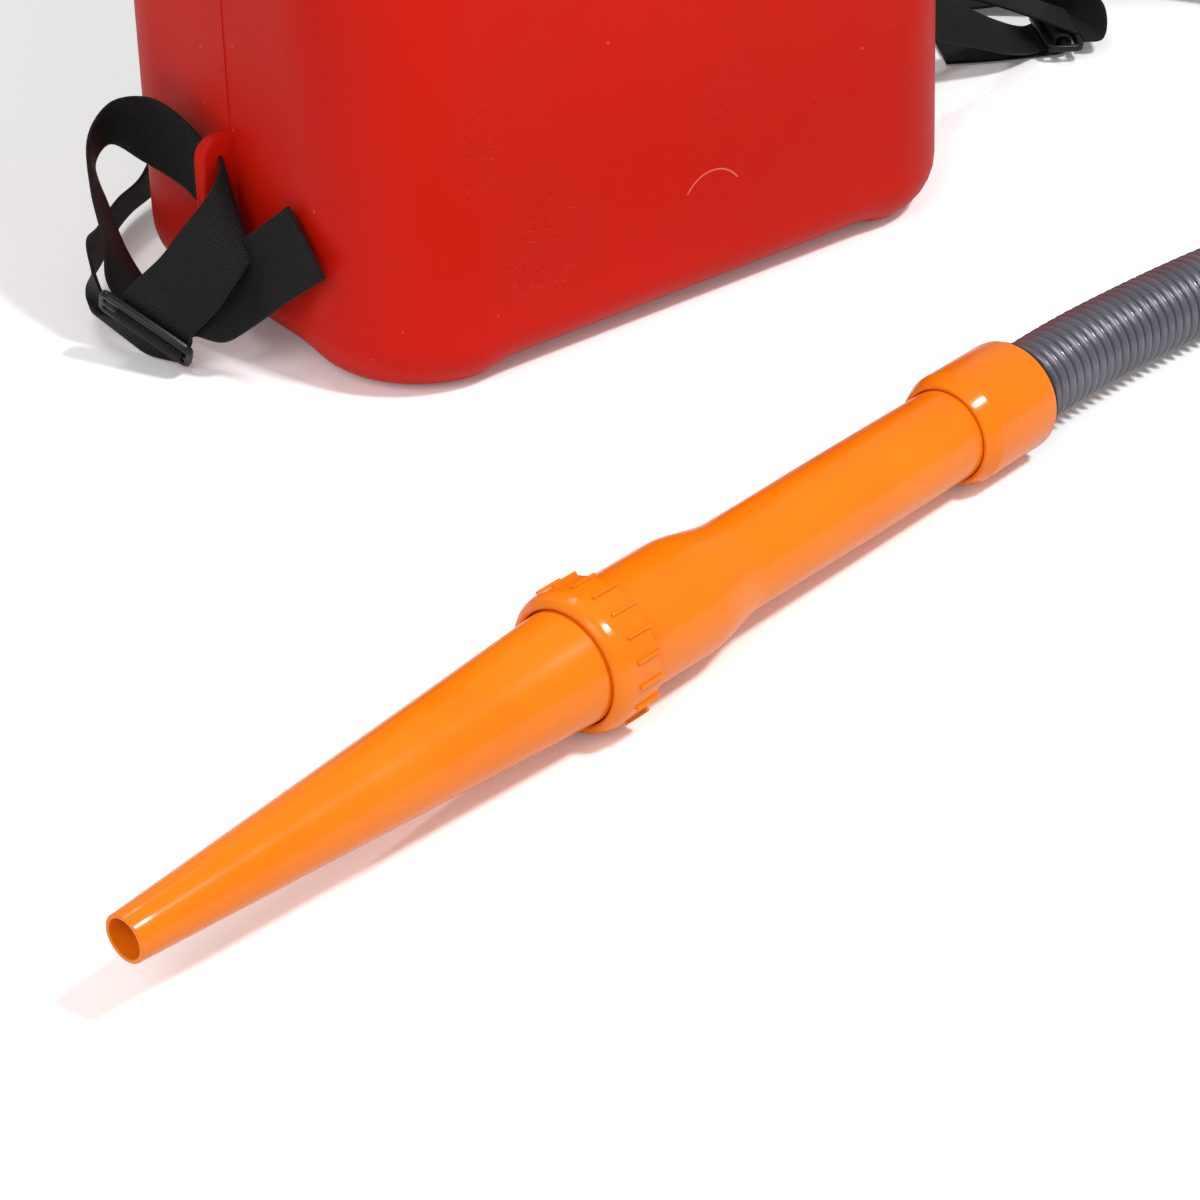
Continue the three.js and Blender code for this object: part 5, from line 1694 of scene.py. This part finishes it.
class Wand:
    """The nozzle, its collar nut, the grip tube and the hose cuff."""

    def __init__(self, bench: Bench, size: WandSize) -> None:
        """Finds the wand's axis from the collar's joint.

        Args:
            bench: The bench.
            size: The sizes.
        """
        self.bench = bench
        self.size = size
        joint = next(j for j in frame["joints"] if j["name"] == "collar_turn")
        axis = -Vector(joint["axis"]).normalized()
        turn = Vector((0, 0, 1)).rotation_difference(axis).to_matrix().to_4x4()
        self.place = Matrix.Translation(joint["pos_m"]) @ turn

    def lay(self, piece: Piece) -> None:
        """Moves a piece from the Z axis to the wand's own axis."""
        piece.matrix_world = self.place
        settle(piece)

    def nozzle(self) -> None:
        """Makes the long cone with its open tip."""
        size = self.size
        slope = (size.base_radius - size.tip_radius) / (size.base - size.tip)
        bore, end = size.tip_radius - size.wall, size.base + size.flange_length
        outer = [(size.tip_radius + slope * (s - size.tip), s)
                 for s in (size.tip, *size.nozzle_rings, size.base)]
        flange = [(size.flange_radius, size.base), (size.flange_radius, end)]
        inner = [(size.base_radius - size.wall, end),
                 (bore + slope * size.straight_bore, size.tip + size.straight_bore), (bore, size.tip)]
        profile = rounded(in_mm([*outer, *flange, *inner]), 0.7 * MM, 3)
        nozzle = turned("nozzle_cone", profile, 96)
        self.lay(nozzle)
        smooth(nozzle, 30)
        self.bench.finish(nozzle, Slot.WAND, "nozzle_end", "nozzle")

    def collar(self) -> None:
        """Makes the collar nut, with a round shoulder, flats and low ribs."""
        size = self.size
        body = size.collar_radius - size.rib_depth
        front, rear = size.collar_front, size.collar_rear
        shoulder = [(body - drop, front + back) for drop, back in size.shoulder]
        profile = [(size.bore + 0.9, front), *shoulder, (body, rear - size.rib_length), (body, rear),
                   (size.rear_bore, rear), (size.rear_bore, rear - 1.2), (size.thread_bore, rear - 1.6),
                   (size.thread_bore, size.base - 0.3), (size.bore, size.base - 0.3),
                   (size.bore, front + 0.6)]
        collar = turned("collar_body", rounded(in_mm(profile), 1.2 * MM, 3), 8 * size.collar_ribs)
        self.flatten(collar)
        rib = block("rib", at(body - 2, -size.rib_width / 2, rear - size.rib_length),
                    at(size.collar_radius, size.rib_width / 2, rear + 0.2))
        round_edges(rib, lambda e: middle(e).x > (size.collar_radius - 0.5) * MM, 0.45, 3)
        collar = join_all([collar, *around(rib, size.collar_ribs)], "collar_body")
        self.lay(collar)
        smooth(collar, 24)
        self.bench.finish(collar, Slot.WAND, "collar", "collar_nut")

    def flatten(self, collar: Piece) -> None:
        """Presses the rear of the collar's rim into flats between the ribs.

        Args:
            collar: The collar, still on the Z axis.
        """
        size = self.size
        body, facet = size.collar_radius - size.rib_depth, 2 * math.pi / size.collar_ribs
        for vertex in collar.data.vertices:
            x, y, s = (value / MM for value in vertex.co)
            radius = math.hypot(x, y)
            if radius < body - 2.5:
                continue
            off = math.atan2(y, x) % facet - facet / 2
            flat = body * math.cos(facet / 2) / math.cos(off)
            fade = min(max((s - size.collar_rear + size.rib_length + 1) / 2, 0), 1)
            share = 1 + fade * (flat / body - 1)
            vertex.co.x *= share
            vertex.co.y *= share

    def tube(self) -> None:
        """Makes the tube with its bulge, waist and faintly fluted grip."""
        size = self.size
        bulge, crest = size.bulge_radius, size.bulge_radius + size.thread_rise
        outer = [(bulge, size.tube_start)]
        for turn in range(size.thread_turns):
            start = size.tube_start + 0.6 + turn * size.thread_pitch
            outer += [(bulge, start), (crest, start + 0.7), (crest, start + 1.3), (bulge, start + 2)]
        outer.append((bulge, size.bulge_end))
        steps = 14
        for start, end, first, last in ((size.bulge_end, size.waist, bulge, size.waist_radius),
                                        (size.waist, size.grip_start, size.waist_radius, size.grip_radius)):
            for step in range(1, steps + 1):
                t = step / steps
                outer.append((first + (last - first) * t * t * (3 - 2 * t), start + (end - start) * t))
        outer += [(size.grip_radius, s) for s in (*size.grip_rings, size.tube_end)]
        inner = [(min(radius, bulge) - size.tube_wall, s) for radius, s in reversed(outer)]
        tube = turned("tube_body", in_mm([*outer, *inner]), 120)
        self.flute(tube)
        self.lay(tube)
        smooth(tube, 40)
        self.bench.finish(tube, Slot.WAND, "blower", "wand_tube")

    def flute(self, tube: Piece) -> None:
        """Presses faint long flutes into the grip.

        Args:
            tube: The tube, still on the Z axis.
        """
        size = self.size
        for vertex in tube.data.vertices:
            x, y, s = (value / MM for value in vertex.co)
            radius = math.hypot(x, y)
            if radius < size.waist_radius - 0.5:
                continue
            ahead = min(max((s - size.flute_start) / 30, 0), 1)
            behind = min(max((size.flute_end - s) / 16, 0), 1)
            wave = 0.5 - 0.5 * math.cos(size.flutes * math.atan2(y, x))
            share = 1 - ahead * behind * size.flute_depth * wave ** 3 / radius
            vertex.co.x *= share
            vertex.co.y *= share

    def cuff(self) -> None:
        """Makes the cuff and the black ring where the hose enters."""
        size = self.size
        inner = size.grip_radius - size.tube_wall
        socket, stop = size.grip_radius + size.gap, size.tube_end + size.gap
        profile = [(socket, size.cuff_start), (size.cuff_radius - 3, size.cuff_start),
                   (size.cuff_radius, size.cuff_start + size.cuff_lip), (size.cuff_radius, size.cuff_end),
                   (inner, size.cuff_end), (inner, stop), (socket, stop)]
        cuff = turned("cuff_body", rounded(in_mm(profile), 1.6 * MM, 4), 96)
        self.lay(cuff)
        smooth(cuff, 32)
        self.bench.finish(cuff, Slot.WAND, "blower", "wand_cuff")
        start = size.cuff_end + size.gap
        ring = [(size.seal_radius, start), (size.seal_radius, start + size.seal_length),
                (size.seal_bore, start + size.seal_length), (size.seal_bore, start)]
        seal = turned("cuff_ring", rounded(in_mm(ring), 0.5 * MM, 3), 72)
        self.lay(seal)
        smooth(seal)
        self.bench.finish(seal, Slot.RUBBER, "blower", "wand_cuff_seal")

    def build(self) -> None:
        """Builds the whole wand."""
        self.nozzle()
        self.collar()
        self.tube()
        self.cuff()
        self.bench.refine("nozzle_seal", Slot.RUBBER, "blower", 0.3)


# ------------------------------------------------------------------ hose


@dataclass(frozen=True)
class HoseSize:
    """Sizes of the hose in millimetres, and the points of its route."""

    radius: float = 19.8
    groove_radius: float = 15.4
    pitch: float = 6.2
    sides: int = 44
    steps: int = 10
    crest: float = 0.5
    route: tuple[Point, ...] = (
        (249.5, 82, 66), (282, 82, 66), (320, 81, 62), (362, 76, 54.5), (405, 64, 46),
        (444, 43, 38), (478, 13, 31), (503, -24, 26), (519, -66, 22.5), (525, -110, 20.8),
        (519, -155, 20.4), (502, -198, 20.4), (475, -234, 20.4), (440, -262, 20.4),
        (399, -280, 20.4), (354, -289.5, 20.4), (308, -292, 20.4), (261, -290.5, 20.6),
        (213, -289, 21.2), (165, -290, 22.3), (118, -294, 24), (70.48, -300.256, 25.991),
        (21.877, -308.476, 26.852))


class Hose:
    """The corrugated hose from the tank to the wand."""

    def __init__(self, bench: Bench, size: HoseSize) -> None:
        """Keeps the bench and the sizes."""
        self.bench = bench
        self.size = size

    def radius(self, step: int) -> float:
        """Gives the hose's radius at a step along it.

        Args:
            step: The step's number.

        Returns:
            The radius, in metres.
        """
        size = self.size
        share = 0.5 - 0.5 * math.cos(2 * math.pi * (step % size.steps) / size.steps)
        return (size.groove_radius + (size.radius - size.groove_radius) * share ** size.crest) * MM

    def build(self) -> None:
        size = self.size
        line = spline(scaled(size.route), 24)
        length = sum((b - a).length for a, b in zip(line, line[1:]))
        ribs = round(length / (size.pitch * MM))
        path = even_path(line, ribs * size.steps + 1)
        hose = from_rings("hose_body", sweep(path, Vector((0, 0, 1)), size.sides, self.radius))
        smooth(hose, 75)
        self.bench.finish(hose, Slot.HOSE, "blower", "hose")


# ------------------------------------------------------------------ harness


@dataclass(frozen=True)
class BucklePlace:
    """Where a buckle lies: its middle in millimetres, and the ways along and across its bars."""

    middle: Point
    along: Point
    across: Point

    def frame(self) -> Matrix:
        """Gives the buckle's own place.

        Returns:
            A matrix with X along its bars, Y across them and Z out of its plane.
        """
        lengthwise = Vector(self.along).normalized()
        outward = lengthwise.cross(Vector(self.across)).normalized()
        turn = Matrix((lengthwise, outward.cross(lengthwise), outward)).transposed().to_4x4()
        return Matrix.Translation(at(*self.middle)) @ turn


@dataclass(frozen=True)
class StrapSide:
    """One side of the harness: its buckle and the two edges of each run of webbing, in millimetres."""

    mirror: float
    buckle: BucklePlace
    end: tuple[Point, ...]
    tail: Edges
    band: Edges
    to_pad: Edges


LEFT = StrapSide(
    mirror=1,
    buckle=BucklePlace((-245, -0.6, 22), (-0.4475, 0.759, 0.47), (0.279, 0.619, -0.733)),
    end=((9, -4.2),),
    tail=(
        ((-196, -54, 91), (-205, -34.5, 72), (-213, -16, 53), (-228, -3, 40)),
        ((-196, -82, 64.5), (-205, -62, 47), (-214, -46, 31), (-224, -36, 22))),
    band=(
        ((-243, 4, 47), (-233, 0, 56), (-224, -5, 69), (-214, -9, 81), (-206, -10, 91),
         (-200, -5, 99), (-200, 3, 99), (-202, 18, 108), (-207, 44, 114), (-219, 58, 110),
         (-233, 57, 98), (-242, 44, 77), (-247, 28, 56), (-250, 24, 40)),
        ((-231, -29, 30), (-226, -36, 40), (-220, -39, 49), (-212, -40, 58), (-204, -35, 60),
         (-200, -22, 60), (-200, 3, 61), (-202, 24, 72), (-209, 50, 79), (-213, 76, 80),
         (-220, 79, 70), (-222, 66, 54), (-224, 47, 36), (-221, 20, 14))),
    to_pad=(
        ((-250, 40, 16), (-238, 66, 14), (-214, 92, 10), (-190, 122, 5), (-168, 140, 5),
         (-142, 152, 8), (-114, 156, 34), (-84, 165, 82), (-71, 166, 131)),
        ((-240, 12, 3), (-244, 36, 20), (-232, 72, 34), (-210, 98, 27), (-188, 116, 28),
         (-164, 130, 30), (-142, 142, 54), (-114, 160, 104), (-99, 167, 156))))
RIGHT = StrapSide(
    mirror=-1,
    buckle=BucklePlace((369, -3, 9.8), (-0.54, -0.84, 0), (0.84, -0.54, 0)),
    end=((9, 4.4),),
    tail=(
        ((301, 17, 1.6), (325, 3, 1.6)),
        ((322, 49, 1.6), (345, 35, 1.6))),
    band=(
        ((318, -17, 14), (284, -14, 27), (246, -11, 42), (214, -9, 58), (200, -4, 61), (200, 3, 61),
         (207, 16, 60), (238, 28, 50), (282, 30, 42), (322, 20, 34), (348, -3, 24)),
        ((332, 10, 22), (288, 0, 48), (246, -6, 76), (212, -7, 97), (200, -4, 99), (200, 3, 99),
         (206, 14, 99), (240, 30, 86), (290, 44, 62), (338, 42, 38), (366, 27, 24))),
    to_pad=(
        ((380, -29, 11), (396, -14, 22), (401, 8, 24), (386, 34, 13), (360, 62, 5), (326, 92, 8),
         (284, 120, 20), (226, 146, 46), (140, 158, 84), (71, 166, 131)),
        ((396, 6, 7), (403, 18, 4), (404, 42, 3), (398, 66, 3.5), (384, 92, 6), (350, 120, 16),
         (300, 146, 40), (235, 162, 74), (155, 166, 116), (99, 167, 156))))


@dataclass(frozen=True)
class HarnessSize:
    """Sizes of the harness in millimetres."""

    web_width: float = 38.0
    web_offset: float = -3.0
    web_thickness: float = 2.0
    web_steps: int = 8
    web_crown: float = 0.06
    web_stations: tuple[float, ...] = (
        0, 0.008, 0.03, 0.1, 0.22, 0.36, 0.5, 0.64, 0.78, 0.9, 0.97, 0.992, 1)
    pad_thickness: float = 12.0
    pad_steps: int = 10
    pad_crown: float = 0.55
    pad_stations: tuple[float, ...] = (
        0, 0.012, 0.035, 0.06, 0.075, 0.09, 0.13, 0.2, 0.3, 0.4, 0.5, 0.6, 0.7, 0.8, 0.87, 0.91, 0.925,
        0.94, 0.965, 0.988, 1)
    pad_fill: float = 0.8
    buckle_length: float = 52.0
    buckle_depth: float = 22.0
    buckle_bar: float = 4.0
    buckle_thickness: float = 4.0
    buckle_corner: float = 5.0
    buckle_edge: float = 1.3
    slot_play: float = 4.0
    wrap: tuple[tuple[float, float], ...] = (
        (-8.4, -7.4), (0, -6.4), (3.8, -4.4), (4.7, -0.5), (3.5, 2.5), (0, 3.7), (-3.5, 2.5), (-4.6, -0.4),
        (-6, -3.1), (-9, -4), (-13, -5.4))
    pad_web_start: tuple[tuple[float, float], ...] = ((12.6, 0),)
    pad_outer: tuple[Point, ...] = (
        (-92, 132, 402), (-94, 152, 399), (-96, 170, 376), (-98, 181, 330), (-99, 184, 280),
        (-100, 181, 230), (-101, 174, 190), (-102, 168, 160))
    pad_inner: tuple[Point, ...] = (
        (-32, 132, 402), (-34, 152, 399), (-36, 170, 376), (-38, 181, 330), (-39, 184, 280),
        (-42, 181, 230), (-49, 174, 180), (-61, 168, 143))


@dataclass(frozen=True)
class QuiltSize:
    """How the back pad is made: its grid, and its sizes in metres."""

    columns: int = 73
    rows: int = 91
    margin: float = 0.001
    play: float = 0.0005
    corner: float = 0.04
    panel_half: float = 0.045
    row_half: float = 0.05
    channel: float = 0.0035
    press: float = 0.36
    fade: float = 14.0
    rim_power: int = 14
    fill: float = 0.7


@dataclass(frozen=True)
class HandleSize:
    """Sizes of the carrying handle in millimetres; its points stand over the bracket."""

    stand_off: float = 11.0
    lift: float = 0.3
    half_span: float = 52.0
    points: tuple[Point, ...] = (
        (-52, 0, 0.2), (-52, 0, 27.6), (-36.4, 6, 46), (0, 9, 49), (36.4, 6, 46), (52, 0, 27.6),
        (52, 0, 0.2))
    radius: float = 7.9
    stations: int = 121
    grip_stations: int = 26
    groove: float = 0.5
    groove_every: int = 4
    foot: Profile = ((0.0001, 5), (7.6, 5), (11, 2.4), (11, 0), (0.0001, 0))


class Harness:
    """The webbing, the buckles, the shoulder pads, the back pad, the bracket and the handle."""

    def __init__(self, bench: Bench, size: HarnessSize, quilt: QuiltSize, grip: HandleSize) -> None:
        """Keeps the bench and the sizes of the harness, its back pad and its handle."""
        self.bench, self.size = bench, size
        self.quilt, self.grip = quilt, grip

    def ribbon(self, name: str, edges: Sequence[Sequence[Vector]], thickness: float, crown: float,
               fractions: Sequence[float]) -> Piece:
        """Makes a strap or pad between two edge lines, with a map along it.

        Args:
            name: Name of the piece.
            edges: The two lines, with as many points each.
            thickness: Thickness at its middle, in metres.
            crown: Shape of its section: 1 is oval, and small is flat with round edges.
            fractions: Places across it, from 0 to 1.

        Returns:
            The closed piece, with its map named strap.
        """
        first, second = edges
        rings, lengths, travelled = [], [], 0.0
        for k, (a, b) in enumerate(zip(first, second)):
            back, ahead = max(k - 1, 0), min(k + 1, len(first) - 1)
            along = (first[ahead] + second[ahead] - first[back] - second[back]).normalized()
            lift = (b - a).cross(along).normalized() * thickness / 2
            if k:
                travelled += ((first[k] + second[k]) / 2 - (first[k - 1] + second[k - 1]) / 2).length
            lengths.append(travelled)
            heights = [max(1 - abs(2 * f - 1) ** (2 / crown), 0.0) ** 0.5 for f in fractions]
            over = [a.lerp(b, f) + lift * h for f, h in zip(fractions, heights)]
            under = [a.lerp(b, f) - lift * h for f, h in zip(fractions, heights)]
            rings.append(over + under[-2:0:-1])
        made = from_rings(name, rings)
        count = len(rings[0])
        across = [*fractions, *list(fractions)[-2:0:-1]]
        layer = made.data.uv_layers.new(name="strap")
        width = self.size.web_width * MM
        for loop in made.data.loops:
            station, place = divmod(loop.vertex_index, count)
            layer.data[loop.index].uv = (across[place], lengths[station] / width)
        return made

    def lines(self, edges: Sequence[Sequence[Vector]], steps: int) -> list[list[Vector]]:
        """Runs a curve through each edge's points."""
        return [spline(edge, steps) for edge in edges]

    def at_buckle(self, place: BucklePlace, side: int, pairs: Sequence[Point]) -> list[Vector]:
        """Gives points of one strap edge at a buckle.

        Args:
            place: The buckle's place.
            side: 1 or -1, for the edge.
            pairs: Places across the buckle and heights over it, in millimetres.

        Returns:
            The points, in metres.
        """
        turn = place.frame()
        edge = self.size.web_offset + side * self.size.web_width / 2
        return [turn @ at(edge, across, over) for across, over in pairs]

    def webbing(self, side: str, data: StrapSide) -> None:
        """Makes the two runs of webbing of one side.

        Args:
            side: Name of the side.
            data: Its places.
        """
        size = self.size
        lug, pad = [], []
        for way, tail, band, to_pad in zip((1, -1), data.tail, data.band, data.to_pad):
            wrap, end, start = (self.at_buckle(data.buckle, way, pairs)
                                for pairs in (size.wrap, data.end, size.pad_web_start))
            lug.append([*scaled(tail), *wrap, *scaled(band), *end])
            pad.append([*start, *scaled(to_pad)])
        for kind, edges in (("lug", lug), ("pad", pad)):
            strap = self.ribbon(f"{side}_{kind}_strap", self.lines(edges, size.web_steps),
                                size.web_thickness * MM, size.web_crown, size.web_stations)
            smooth(strap, 50)
            self.bench.finish(strap, Slot.WEBBING, "blower", f"{side}_{kind}_webbing")

    def pad(self, side: str, data: StrapSide) -> None:
        """Makes one padded shoulder strap.

        Args:
            side: Name of the side.
            data: Its places.
        """
        size = self.size
        edges = [[at(data.mirror * x, y, z) for x, y, z in edge]
                 for edge in (size.pad_outer, size.pad_inner)]
        pad = self.ribbon(f"{side}_pad_cushion", self.lines(edges, size.pad_steps),
                          size.pad_thickness * MM, size.pad_crown, size.pad_stations)
        smooth(pad, 60)
        self.bench.finish(pad, Slot.FOAM, "blower", f"{side}_shoulder_pad")

    def buckles(self) -> None:
        """Makes the ladder buckle once, and lays a copy on each side."""
        size = self.size
        half, depth, bar_width = size.buckle_length / 2, size.buckle_depth / 2, size.buckle_bar
        level, reach = size.buckle_thickness / 2, size.web_width / 2 + size.slot_play
        body = block("buckle", at(-half, -depth, -level), at(half, depth, level))
        round_edges(body, upright, size.buckle_corner, 5)
        room = (size.buckle_depth - 3 * bar_width) / 4
        for way in (-1, 1):
            middle_y = way * (room + bar_width / 2)
            slot = block("slot", at(-reach, middle_y - room, -5), at(reach, middle_y + room, 5))
            round_edges(slot, upright, 1.2, 3)
            cut(body, slot)
        soften(body, size.buckle_edge * MM, 4, 50)
        smooth(body, 40)
        for side, data in (("left", LEFT), ("right", RIGHT)):
            made = twin(body)
            made.name = f"{side}_buckle_body"
            made.matrix_world = data.buckle.frame()
            settle(made)
            self.bench.finish(made, Slot.BLACK, "blower", f"{side}_buckle")
        bpy.data.objects.remove(body)

    def back_pad(self) -> None:
        """Makes the back pad, a crowned grid with sewn channels."""
        columns, rows = self.quilt.columns, self.quilt.rows
        low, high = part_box("back_pad")
        corners = [self.quilted(2 * i / (columns - 1) - 1, 2 * j / (rows - 1) - 1, low, high)
                   for j in range(rows) for i in range(columns)]
        faces = [(j * columns + i, (j + 1) * columns + i, (j + 1) * columns + i + 1, j * columns + i + 1)
                 for j in range(rows - 1) for i in range(columns - 1)]
        bottom, top = range(columns), range(rows * columns - 2, (rows - 1) * columns - 1, -1)
        right = range(2 * columns - 1, rows * columns, columns)
        left = range((rows - 2) * columns, 0, -columns)
        pad = from_mesh("back_pad_cushion", corners, [*faces, (*bottom, *right, *top, *left)])
        with editing(pad):
            face_outward()
        smooth(pad, 60)
        self.bench.finish(pad, Slot.FOAM, "blower", "back_pad")

    def quilted(self, u: float, v: float, low: Vector, high: Vector) -> Point:
        """Finds one point of the back pad.

        Args:
            u: Place across, -1 to 1.
            v: Place up, -1 to 1.
            low: Lowest corner of the space that it fills.
            high: Highest corner of that space.

        Returns:
            The point, in metres.
        """
        size = self.quilt
        half_x, half_z = (high.x - low.x) / 2 - size.margin, (high.z - low.z) / 2 - size.margin
        x, z = self.squircle(u, v, half_x, half_z, size.corner)
        edge = max(abs(u), abs(v))
        rim = max(1 - edge ** size.rim_power, 0) ** 0.5
        channel = abs(abs(x) - size.panel_half)
        if abs(x) < size.panel_half:
            channel = min(channel, abs(abs(z) - size.row_half))
        press = math.exp(-(channel / size.channel) ** 2) * min(1, (1 - edge) * size.fade)
        depth = (high.y - low.y - size.play) * rim * (1 - size.press * press)
        return (x, low.y + depth, (low.z + high.z) / 2 + z)

    @staticmethod
    def squircle(u: float, v: float, half_x: float, half_z: float, corner: float) -> tuple[float, float]:
        """Maps a square grid onto a rectangle with round corners.

        Args:
            u: Place across, -1 to 1.
            v: Place up, -1 to 1.
            half_x: Half the width.
            half_z: Half the height.
            corner: Radius of the corners.

        Returns:
            The place across and up.
        """
        x, z = u * half_x, v * half_z
        over_x, over_z = abs(x) - (half_x - corner), abs(z) - (half_z - corner)
        if over_x > 0 and over_z > 0:
            reach = max(over_x, over_z)
            share = reach / math.hypot(over_x, over_z)
            x = math.copysign(half_x - corner + over_x * share, x)
            z = math.copysign(half_z - corner + over_z * share, z)
        return x, z

    def grip_radius(self, step: int) -> float:
        """Gives the handle's radius at a station, smaller in the grooves of its grip.

        Args:
            step: The station's number.

        Returns:
            The radius, in metres.
        """
        grip = self.grip
        held = abs(step - grip.stations // 2) < grip.grip_stations
        return (grip.radius - (grip.groove if held and step % grip.groove_every == 0 else 0)) * MM

    def handle(self) -> None:
        """Makes the carrying handle with its grooved grip."""
        grip = self.grip
        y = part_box("carry_handle")[0].y / MM + grip.stand_off
        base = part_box("strap_bracket")[1].z / MM + grip.lift
        line = spline([at(x, y + back, base + z) for x, back, z in grip.points], 16)
        path = even_path(line, grip.stations)
        handle = from_rings("handle_bar", sweep(path, Vector((1, 0, 0)), 32, self.grip_radius))
        feet = []
        for way in (-1, 1):
            outline = rounded([(radius, base + rise) for radius, rise in grip.foot], 0.8, 3)
            foot = turned("foot", outline, 40)
            foot.data.transform(Matrix.Scale(MM, 4))
            foot.location = at(way * grip.half_span, y, 0)
            settle(foot)
            feet.append(foot)
        handle = join_all([handle, *feet], "handle_bar")
        smooth(handle, 40)
        self.bench.finish(handle, Slot.BLACK, "blower", "carry_handle")

    def build(self) -> None:
        """Builds the whole harness."""
        for side, data in (("left", LEFT), ("right", RIGHT)):
            self.webbing(side, data)
            self.pad(side, data)
        self.buckles()
        self.back_pad()
        self.bench.refine("strap_bracket", Slot.BLACK, "blower", 1.2, 3)
        self.handle()


# ------------------------------------------------------------------ outlet, panel and base


@dataclass(frozen=True)
class OutletSize:
    """Sizes of the cuff on the tank and of the gate's knob in millimetres."""

    bore: float = 17.9
    hose_bore: float = 15.0
    stop: float = 8.0
    lip_depth: float = 2.0
    lip_length: float = 4.0
    tail_depth: float = 3.5
    tail_length: float = 5.0
    rod_bore: float = 3.3
    knob_waves: int = 12
    knob_wave: float = 0.06


class Outlet:
    """The spigot, gasket and cuff where the hose leaves the tank, and the gate's knob."""

    def __init__(self, bench: Bench, size: OutletSize) -> None:
        """Keeps the bench and the sizes."""
        self.bench = bench
        self.size = size

    def along_x(self, name: str, profile: Profile, y: float, z: float, sides: int) -> Piece:
        """Turns a profile about an axis along X.

        Args:
            name: Name of the piece.
            profile: Closed list of radius and X, in metres.
            y: Place of the axis, in metres.
            z: Height of the axis.
            sides: Sides round it.

        Returns:
            The piece.
        """
        made = turned(name, profile, sides)
        made.rotation_euler.y = math.pi / 2
        made.location = (0, y, z)
        settle(made)
        return made

    def cuff(self) -> None:
        """Makes the orange cuff on the tank and its black ring."""
        low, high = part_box("tank_cuff")
        y, z = (low.y + high.y) / 2, (low.z + high.z) / 2
        size, radius = self.size, (high.y - low.y) / 2
        bore, hose_bore, stop = size.bore * MM, size.hose_bore * MM, high.x - size.stop * MM
        profile = [(bore, low.x), (radius - size.lip_depth * MM, low.x),
                   (radius, low.x + size.lip_length * MM),
                   (radius, high.x - size.tail_length * MM), (radius - size.tail_depth * MM, high.x),
                   (hose_bore, high.x), (hose_bore, stop), (bore, stop)]
        cuff = self.along_x("tank_cuff_body", rounded(profile, 1.5 * MM, 4), y, z, 96)
        smooth(cuff, 32)
        self.bench.finish(cuff, Slot.WAND, "blower", "tank_cuff")
        self.bench.refine("tank_cuff_seal", Slot.RUBBER, "blower", 0.4)

    def knob(self) -> None:
        """Makes the gate's knob with finger grooves."""
        low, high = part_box("gate_knob")
        y, z = (low.y + high.y) / 2, (low.z + high.z) / 2
        radius, length, rod = (high.y - low.y) / 2, high.x - low.x, self.size.rod_bore * MM
        floor, centre_gap = low.x + 0.52 * length, 0.1 * MM
        profile = [(rod, low.x), (radius * 0.72, low.x), (radius * 0.78, low.x + 0.18 * length),
                   (radius, low.x + 0.42 * length), (radius, high.x - 0.22 * length),
                   (radius * 0.8, high.x), (centre_gap, high.x), (centre_gap, floor), (rod, floor)]
        knob = self.along_x("gate_knob_body", rounded(profile, 2 * MM, 4), y, z, 72)
        for vertex in knob.data.vertices:
            reach = math.hypot(vertex.co.y - y, vertex.co.z - z)
            if reach > radius * 0.85:
                turn = math.atan2(vertex.co.z - z, vertex.co.y - y)
                share = 1 - self.size.knob_wave * (0.5 - 0.5 * math.cos(self.size.knob_waves * turn))
                vertex.co.y = y + (vertex.co.y - y) * share
                vertex.co.z = z + (vertex.co.z - z) * share
        smooth(knob, 40)
        self.bench.finish(knob, Slot.KNOB, "gate", "gate_knob")

    def build(self) -> None:
        """Builds the outlet and the knob."""
        self.cuff()
        self.knob()
        self.bench.refine("outlet_spigot", Slot.BLACK, "blower", 0.6)
        self.bench.refine("spigot_gasket", Slot.RUBBER, "blower", 0.3)


class Controls:
    """The panel on the right wall with its switch, knob and socket."""

    def __init__(self, bench: Bench) -> None:
        """Keeps the bench."""
        self.bench = bench

    def build(self) -> None:
        """Dresses the panel's pieces with rounded edges."""
        for node, slot, body, edge in (
                ("control_panel", Slot.GREY, "blower", 0.7), ("switch_housing", Slot.BLACK, "blower", 0.5),
                ("power_rocker", Slot.TANK, "rocker", 0.5), ("speed_knob", Slot.BLACK, "speed_dial", 0.5),
                ("charge_socket", Slot.BLACK, "blower", 0.3),
                ("charge_cap", Slot.RUBBER, "socket_cap", 0.3)):
            self.bench.refine(node, slot, body, edge)


def dress_inside(bench: Bench) -> None:
    """Gives every CAD node that stays its material, by the slot that the record names for it."""
    for subpart in frame["record"]["subparts"]:
        bench.keep(Slot(subpart["material_slot"]), subpart["node"])


def main() -> None:
    """Builds the studio and every piece in order."""
    Studio(StudioSize()).build()
    bench = Bench()
    Hose(bench, HoseSize()).build()
    Tank(bench, TankSize()).build()
    Lid(bench, LidSize()).build()
    Wand(bench, WandSize()).build()
    Harness(bench, HarnessSize(), QuiltSize(), HandleSize()).build()
    Outlet(bench, OutletSize()).build()
    Controls(bench).build()
    dress_inside(bench)


if __name__ == "__main__":
    main()
